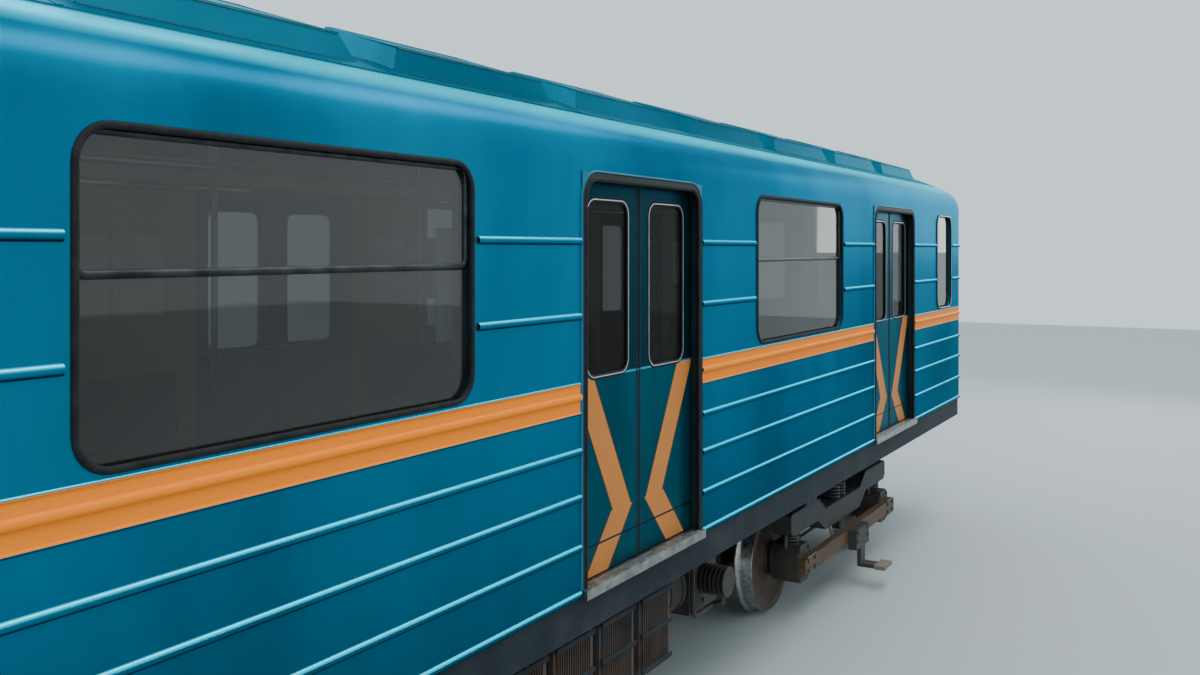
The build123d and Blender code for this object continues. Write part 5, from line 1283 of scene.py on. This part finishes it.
piece(shape, "compressor_set", cast_steel, "carbody", "equipment_paint", ["compressor"], bevel=0.003)
cover_bolts = [
    [(x, y, z)] for x in (CRANKCASE[0][0] + 0.05, HEAD_X, CRANKCASE[0][1] - 0.05)
    for z in (CRANKCASE[2][0] + 0.05, CRANKCASE[2][1] - 0.05) for y in CRANKCASE[1]
]
bolts("crankcase_bolts", cover_bolts, 0.012, 0.022, ALONG_Y)
delivery = [[(HEAD_X - behind, y, z) for behind, y, z in DELIVERY]]
bead("delivery_pipe", delivery, 0.016, pipe_paint, "equipment_paint", outward=(0.3, 0.3, 1), sides=16)

# Bogies: welded box frames in black paint under brown brake dust, with cast axle boxes, coil springs,
# guide posts, weld beads and brake blocks that hang beside the wheels from the cross beams.
BOGIE_X = 6.300
HALF_WHEELBASE = 1.050
JOURNAL_Y = 1.000
AXLE_Z = 0.4205
AXLE_BOX = (0.135, 0.140, 0.055)
AXLE_BOX_Y = (0.890, 1.110)
BOX_BORE = (0.082, 1.066)
AXLE_COILS = (0.5605, 0.638)
BOLSTER_COILS = (0.698, 0.833)
COIL_RADIUS = 0.056
COIL_WIRE = 0.011
BRAKE_SHOE = (0.402, 0.446)
BRAKE_SHOE_Y = (0.766, 0.840)
BRAKE_ARC = 0.36
GUIDE_X = 0.095
GUIDE_Z = (0.500, 0.640)
BOX_BOLT_Z = 0.100
BOLSTER_COIL_X = 0.075
# X and Z of the upper ends of a brake block's hanger and crank, X and Y of the ends of the bar between
# two cranks, and Y and Z of the brake cylinder
HANGER_TOP = (0.40, 0.655)
CRANK_TOP = (0.33, 0.54)
BRAKE_BAR = (0.42, 0.803)
CYLINDER_PLACE = (0.620, 0.610)
BRAKE_DUST = (0.075, 0.040, 0.022, 1)
SPRING_PAINT = ((0.012, 0.014, 0.016, 1), (0.055, 0.045, 0.035, 1))
SPRING_SEAT = ((0, 0), (0, 0.068), (0.006, 0.068), (0.006, 0))
# Y of the two welded edges of a side frame, and its top from the middle outwards as X and Z
FRAME_EDGES = (0.9252, 1.0748)
FRAME_TOP = ((0.0, 0.692), (0.445, 0.692), (0.605, 0.802), (1.185, 0.802))
BRAKE_CYLINDER = (
    (-0.150, 0), (-0.150, 0.060), (-0.135, 0.078), (0.110, 0.078), (0.114, 0.088), (0.130, 0.088), (0.134, 0.05),
    (0.150, 0.05), (0.150, 0),
)
bogie_paint = finish("bogie_paint", UNDER_PAINT, 5, gloss=(0.5, 0.8), bump=0.35, grain=100)
dusty(bogie_paint, BRAKE_DUST, 0.30, 0.95, 0.85, 5.0)
spring_paint = finish("spring_paint", SPRING_PAINT, 12, gloss=(0.4, 0.65), bump=0.2)
paint(("bogie",), bogie_paint)


def coils_tree():
    """A coil spring standing on every base point."""
    tree, given = new_tree("coils", Radius="Float", Wire="Float", Height="Float", Turns="Float", Finish="Material")
    sizes = {"Resolution": 20, "Rotations": given["Turns"], "Height": given["Height"]}
    sizes |= {"Start Radius": given["Radius"], "End Radius": given["Radius"]}
    spiral = made_by(tree, "CurveSpiral", sizes)
    section = made_by(tree, "CurvePrimitiveCircle", {"Resolution": 8, "Radius": given["Wire"]})
    sweep = {"Curve": spiral, "Profile Curve": section, "Fill Caps": True}
    wire = made_by(tree, "CurveToMesh", sweep)
    springs = made_by(tree, "InstanceOnPoints", {"Points": given["Base"], "Instance": wire})
    close_tree(tree, springs, given["Finish"])
    return tree


def box_outline(angle):
    """How far the axle box's corner-rounded outline is from its bore in one direction."""
    across, up = abs(math.cos(angle)), abs(math.sin(angle))
    half_x, half_z, cut = AXLE_BOX
    return min(half_x / max(across, 1e-6), half_z / max(up, 1e-6), (half_x + half_z - cut) / (across + up))


def brake_shoe(shape, centre, toward, side):
    """Adds one curved brake block on the side of a wheel that looks to the bogie's middle."""
    sections = []
    near, far = BRAKE_SHOE
    corners = [(near, 0), (far, 0), (far, 1), (near, 1)]
    for i in range(9):
        angle = BRAKE_ARC * (i / 4 - 1)
        out, up = toward * math.cos(angle), math.sin(angle)
        places = [(centre + out * reach, side * BRAKE_SHOE_Y[edge], AXLE_Z + reach * up) for reach, edge in corners]
        sections.append([shape.verts.new(place) for place in places])
    for low, high in zip(sections, sections[1:]):
        for i in range(4):
            shape.faces.new((low[i], low[(i + 1) % 4], high[(i + 1) % 4], high[i]))
    shape.faces.new(sections[0][::-1])
    shape.faces.new(sections[-1])


coils = coils_tree()
for end_name, end in ENDS:
    body = f"bogie_{end_name}"
    centre = end * BOGIE_X
    shape = bmesh.new()
    rigging = bmesh.new()
    axle_coils, bolster_coils, box_bolts, welds, rods, guides = [], [], [], [], [], []
    for side in (1, -1):
        for way in (1, -1):
            x = centre + way * HALF_WHEELBASE
            bore, bottom = BOX_BORE
            back, front = AXLE_BOX_Y
            profile = [(bottom, 0), (bottom, bore), (back, bore), (back, box_outline), (front, box_outline)]
            profile += [(front, 0.112), (front + 0.006, 0.108), (front + 0.006, 0)]
            turned(shape, (x, 0, AXLE_Z), (0, side, 0), profile, 64)
            axle_coils.append([(x, side * JOURNAL_Y, AXLE_COILS[0] + COIL_WIRE)])
            for place in (-GUIDE_X, GUIDE_X):
                guides.append(upright(x + place, side * JOURNAL_Y, *GUIDE_Z))
                for height in (-BOX_BOLT_Z, BOX_BOLT_Z):
                    box_bolts.append([(x + place * 0.95, side * (front + 0.004), AXLE_Z + height)])
            place = centre + way * BOLSTER_COIL_X
            bolster_coils.append([(place, side * JOURNAL_Y, BOLSTER_COILS[0] + COIL_WIRE)])
            for seat_x, heights in ((x, AXLE_COILS), (place, BOLSTER_COILS)):
                for z in (heights[0], heights[1] - 0.006):
                    turned(shape, (seat_x, side * JOURNAL_Y, z), (0, 0, 1), SPRING_SEAT, 32)
            brake_shoe(rigging, x, -way, side)
            y = side * sum(BRAKE_SHOE_Y) / 2
            hung = x - way * (BRAKE_SHOE[1] + 0.02)
            plate = sorted((x - way * BRAKE_SHOE[1], x - way * (BRAKE_SHOE[1] + 0.035)))
            block(rigging, plate, (y - 0.022, y + 0.022), (AXLE_Z - 0.07, AXLE_Z + 0.07))
            rods.append([(hung, y, AXLE_Z), (hung, y, AXLE_Z + 0.09), (centre + way * HANGER_TOP[0], y, HANGER_TOP[1])])
            crank_x = centre + way * CRANK_TOP[0]
            rods.append([(hung, y, AXLE_Z - 0.05), (crank_x, y, AXLE_Z - 0.05), (crank_x, y, CRANK_TOP[1])])
            for edge in FRAME_EDGES:
                welds.append([(centre + way * along, side * edge, z) for along, z in FRAME_TOP])
        rods.append([(centre + x, side * BRAKE_BAR[1], AXLE_Z - 0.02) for x in (-BRAKE_BAR[0], BRAKE_BAR[0])])
        turned(rigging, (centre, side * CYLINDER_PLACE[0], CYLINDER_PLACE[1]), (1, 0, 0), BRAKE_CYLINDER, 32)
    piece(shape, body + "_axle_boxes", cast_steel, body, "bogie_casting", [f"suspension_{end_name}"])
    piece(rigging, body + "_brakes", cast_steel, body, "bogie_casting")
    for name, points, (low, high), turns in (
        ("_axle_springs", axle_coils, AXLE_COILS, 2.5), ("_bolster_springs", bolster_coils, BOLSTER_COILS, 4.25)
    ):
        values = {"Radius": COIL_RADIUS, "Wire": COIL_WIRE, "Height": high - low - 2 * COIL_WIRE, "Turns": turns}
        values["Finish"] = spring_paint
        grown(body + name, paths(points), coils, values, body, 80)
    bolts(body + "_box_bolts", box_bolts, 0.013, 0.012, ALONG_Y, body=body)
    bead(body + "_guide_posts", guides, 0.016, bolt_steel, "bogie_casting", body=body, sides=12)
    bead(body + "_weld_beads", welds, 0.005, bogie_paint, "bogie_paint", body=body, sides=6)
    bead(body + "_brake_rods", rods, 0.013, cast_steel, "bogie_casting", body=body, sides=10)

# Traction motors: cast frames with fitted end bells, each bolted by a nose to a cross beam, and gear
# cases of pressed halves that reach from the motor's shaft to the axle, greasy and dusty.
MOTOR_OUT = 0.700
MOTOR_MIDDLE = 0.086
MOTOR_NOSE_X = 0.405
NOSE_HALF_WIDTH = 0.090
NOSE_Z = (0.5255, 0.6155)
MOTOR_COVER_Z = (0.650, 0.700)
GEAR_CASE_Y = (0.405, 0.535)
GEAR_CASE_RADII = (0.230, 0.160)
CASE_BORE = 0.0815
MOTOR_PROFILE = (
    (-0.320, 0), (-0.320, 0.110), (-0.306, 0.165), (-0.276, 0.210), (-0.238, 0.226), (-0.234, 0.254), (-0.196, 0.254),
    (-0.192, 0.240), (0.168, 0.240), (0.172, 0.254), (0.226, 0.254), (0.230, 0.236), (0.300, 0.232), (0.319, 0.215),
    (0.319, 0),
)
GREASY = ((0.010, 0.009, 0.008, 1), (0.040, 0.030, 0.022, 1))
greasy = finish("greasy_casting", GREASY, 8, gloss=(0.3, 0.7), bump=0.4, grain=130)
for end_name, end in ENDS:
    shape = bmesh.new()
    nose_bolts = []
    for way in (1, -1):
        motor_x = end * BOGIE_X + way * MOTOR_OUT
        axle_x = end * BOGIE_X + way * HALF_WHEELBASE
        turned(shape, (motor_x, way * MOTOR_MIDDLE, AXLE_Z), (0, way, 0), MOTOR_PROFILE, 48)

        def case_outline(angle, spare=0.0, way=way):
            """How far the gear case's pear outline is from the axle in one direction."""
            reach = []
            for i in range(21):
                wide, narrow = GEAR_CASE_RADII
                along = -way * (HALF_WHEELBASE - MOTOR_OUT) * i / 20
                radius = wide + (narrow - wide) * i / 20 - spare
                toward = along * math.cos(angle)
                inside_circle = toward ** 2 - along ** 2 + radius ** 2
                if inside_circle >= 0:
                    reach.append(toward + math.sqrt(inside_circle))
            return max(reach)

        def case_step(angle):
            return case_outline(angle, 0.012)

        low, high = GEAR_CASE_Y
        case_profile = [(low, CASE_BORE), (low, case_step), (low + 0.012, case_outline), (low + 0.058, case_outline)]
        case_profile += [(low + 0.060, case_step), (low + 0.070, case_step), (low + 0.072, case_outline)]
        case_profile += [(high - 0.012, case_outline), (high, case_step), (high, CASE_BORE)]
        turned(shape, (axle_x, 0, AXLE_Z), (0, way, 0), case_profile, 64, closed=True)
        nose_x = sorted((end * BOGIE_X + way * MOTOR_NOSE_X, motor_x))
        middle = way * MOTOR_MIDDLE
        block(shape, nose_x, (middle - NOSE_HALF_WIDTH, middle + NOSE_HALF_WIDTH), NOSE_Z)
        block(shape, (motor_x - 0.07, motor_x + 0.07), (middle - 0.10, middle + 0.06), MOTOR_COVER_Z)
        for place in (-0.06, 0.06):
            nose_bolts.append([(end * BOGIE_X + way * (MOTOR_NOSE_X + 0.045), middle + place, NOSE_Z[1] + 0.004)])
    body, casting = f"bogie_{end_name}", f"traction_motors_{end_name}"
    piece(shape, casting + "_castings", greasy, body, "bogie_casting", [casting], bevel=0.002)
    bolts(casting + "_nose_bolts", nose_bolts, 0.016, 0.014, UPRIGHT, body=body)

# Collector gear: oiled wooden beams bolted across the axle boxes, which insulate the steel arms and the
# shoes that slide on the live rail, bright along their soles.
OILED_WOOD = ((0.045, 0.022, 0.010, 1), (0.110, 0.058, 0.026, 1))
WOOD_FACE = 1.1715
SHOE_FACE = 1.3595
# Bolts of the beam as distance from the bogie's middle and Y of their heads
BEAM_BOLTS = ((-1.12, 1.174), (-0.98, 1.174), (-0.13, 1.243), (0.13, 1.243), (0.98, 1.174), (1.12, 1.174))
STRAP_Y = 1.172
STRAP_HEIGHTS = (0.362, 0.479)
SHOE_STEEL = (0.030, 0.028, 0.026, 1)
SHOE_SOLE = (0.16, 0.13, 0.10, 1)
collector_finish = finish("collector_gear", OILED_WOOD, 5, (0.5, 5, 9), (0.5, 0.75), 0.3, 90)
gear_y = away(axes(collector_finish)["Y"])
layer(collector_finish, above(gear_y, WOOD_FACE), SHOE_STEEL)
layer(collector_finish, above(gear_y, SHOE_FACE), SHOE_SOLE)
paint(("collector_gear",), collector_finish)
for end_name, end in ENDS:
    centre = end * BOGIE_X
    body = f"bogie_{end_name}"
    beam_bolts, straps = [], []
    for side in (1, -1):
        for x, out in BEAM_BOLTS:
            beam_bolts += [[(centre + x, side * out, z)] for z in (AXLE_Z - 0.035, AXLE_Z + 0.035)]
        for x in (centre - HALF_WHEELBASE, centre + HALF_WHEELBASE):
            straps += [[(x - 0.10, side * STRAP_Y, z), (x + 0.10, side * STRAP_Y, z)] for z in STRAP_HEIGHTS]
    bolts(body + "_collector_bolts", beam_bolts, 0.014, 0.016, ALONG_Y, body=body)
    bead(body + "_beam_straps", straps, (0.010, 0.004), bolt_steel, "bogie_casting", body=body)

# Couplers: machined steel castings in black paint, worn to metal on cone and face, with a flanged
# shank, cast ribs round the head, a ring about the pocket, air-port gaskets and an uncoupling rod.
COUPLER_Z = 0.793
COUPLER_FACE = 9.583
HEAD_HALF = 0.165
HEAD_HALF_HEIGHT = 0.150
POCKET_Y = 0.0825
POCKET_RADIUS = 0.061
# The shank's collars and a gasket's section as X and radius
COLLARS = ((8.700, 0.064), (8.960, 0.080), (9.300, 0.100))
GASKET = ((9.579, 0.014), (9.579, 0.024), (9.588, 0.024), (9.588, 0.014))
GASKET_Y = 0.022
GASKET_Z = 0.621
HEAD_RIBS_X = (9.400, 9.470, 9.545)
# The uncoupling rod from its lever to its handle, for the front end
ROD = (
    (9.36, 0.10, 0.945), (9.36, 0.10, 0.975), (9.38, 0.14, 0.978), (9.38, 0.30, 0.978), (9.38, 0.325, 0.960),
    (9.38, 0.325, 0.88),
)
# X of the shank flange's bolts and radius of their circle
FLANGE_BOLTS = (9.298, 0.084)
WORN_METAL = (0.22, 0.20, 0.18, 1)
COUPLER_PAINT = ((0.014, 0.014, 0.015, 1), (0.045, 0.036, 0.028, 1))
coupler_paint = finish("coupler_paint", COUPLER_PAINT, 8, gloss=(0.4, 0.7), bump=0.35, grain=120)
coupler_x = away(axes(coupler_paint)["X"])
layer(coupler_paint, above(coupler_x, COUPLER_FACE - 0.004), WORN_METAL)
paint(("coupler",), coupler_paint)
for end_name, end in ENDS:
    body = f"coupler_{end_name}"
    shape = bmesh.new()
    for along, radius in COLLARS:
        collar = [(along, 0.045), (along, radius - 0.006), (along + 0.006, radius), (along + 0.026, radius)]
        collar += [(along + 0.032, radius - 0.006), (along + 0.032, 0.045)]
        turned(shape, (0, 0, COUPLER_Z), (end, 0, 0), collar, 32, closed=True)
    for y in (-GASKET_Y, GASKET_Y):
        turned(shape, (0, end * y, GASKET_Z), (end, 0, 0), GASKET, 20, closed=True)
    piece(shape, body + "_collars", coupler_paint, body, "coupler_casting")
    head = rounded(-HEAD_HALF, HEAD_HALF, COUPLER_Z - HEAD_HALF_HEIGHT, COUPLER_Z + HEAD_HALF_HEIGHT, 0.012, 2)
    ribs = [on_end(head, end * x) for x in HEAD_RIBS_X]
    ring = {"body": body, "closed": True, "outward": (1, 0, 0)}
    bead(body + "_head_ribs", ribs, (0.009, 0.007), coupler_paint, "coupler_casting", **ring)
    pocket = []
    for i in range(32):
        angle = math.pi / 16 * i
        y = end * (POCKET_Y + POCKET_RADIUS * math.cos(angle))
        pocket.append((end * COUPLER_FACE, y, COUPLER_Z + POCKET_RADIUS * math.sin(angle)))
    bead(body + "_pocket_ring", [pocket], (0.006, 0.005), coupler_paint, "coupler_casting", **ring)
    rod = [(end * x, end * y, z) for x, y, z in ROD]
    bead(body + "_uncoupling_rod", [rod], 0.009, bolt_steel, "coupler_casting", body=body, sides=10)
    bolt_x, reach = FLANGE_BOLTS
    flange_bolts = []
    for i in range(8):
        angle = math.pi / 4 * (i + 0.5)
        flange_bolts.append([(end * bolt_x, reach * math.cos(angle), COUPLER_Z + reach * math.sin(angle))])
    bolts(body + "_flange_bolts", flange_bolts, 0.009, 0.012, ALONG_X, body=body)

# Wheelsets: rolled steel wheels pressed on turned axles, rust-brown with brake dust on webs and hubs,
# and polished bright where tread and flange run on the rail.
TREAD_RADIUS = 0.3855
WHEEL_BACK_Y = 0.7205
# Half a wheelset from its middle out, as Y and radius
WHEEL_PROFILE = (
    (0, 0.078), (0.560, 0.078), (0.575, 0.092), (0.690, 0.092), (0.700, 0.120), (0.722, 0.128), (0.738, 0.150),
    (0.758, 0.210), (0.750, 0.300), (0.727, 0.328), (0.720, 0.340), (0.720, 0.400), (0.7225, 0.412), (0.728, 0.419),
    (0.734, 0.4205), (0.741, 0.417), (0.747, 0.408), (0.753, 0.397), (0.762, 0.3925), (0.842, 0.3898),
    (0.850, 0.3865), (0.850, 0.334), (0.845, 0.329), (0.828, 0.321), (0.810, 0.296), (0.814, 0.200), (0.832, 0.142),
    (0.836, 0.128), (0.857, 0.125), (0.860, 0.119), (0.860, 0.098), (0.872, 0.080), (1.058, 0.080), (1.064, 0.074),
    (1.064, 0),
)
WHEEL_BROWN = ((0.030, 0.022, 0.017, 1), (0.085, 0.050, 0.032, 1))
WHEEL_BRIGHT = ((0.30, 0.29, 0.28, 1), (0.48, 0.47, 0.45, 1))
wheel_casting = finish("wheel_casting", WHEEL_BROWN, 14, gloss=(0.55, 0.8), bump=0.5, grain=120)
wheel_bright = finish("wheel_bright", WHEEL_BRIGHT, 30, gloss=(0.18, 0.4), bump=0.1, grain=300, metallic=1.0)
for end_name, end in ENDS:
    for axle_name, way in (("outer", 1), ("inner", -1)):
        body = f"wheelset_{end_name}_{axle_name}"
        centre = (end * (BOGIE_X + way * HALF_WHEELBASE), 0, AXLE_Z)
        shape = bmesh.new()
        whole = [(-y, radius) for y, radius in reversed(WHEEL_PROFILE[1:])] + list(WHEEL_PROFILE)
        turned(shape, centre, (0, 1, 0), whole, 72)
        made = piece(shape, body + "_turned", wheel_casting, body, "wheel_steel", [body])
        made.data.materials.append(wheel_bright)
        for face in made.data.polygons:
            reach = math.hypot(face.center[0] - centre[0], face.center[2] - centre[2])
            inner_face = abs(face.center[1]) < WHEEL_BACK_Y
            face.material_index = 1 if reach > TREAD_RADIUS and not inner_face else 0

# The dressed model's bounds over every shown piece.
low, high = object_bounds()
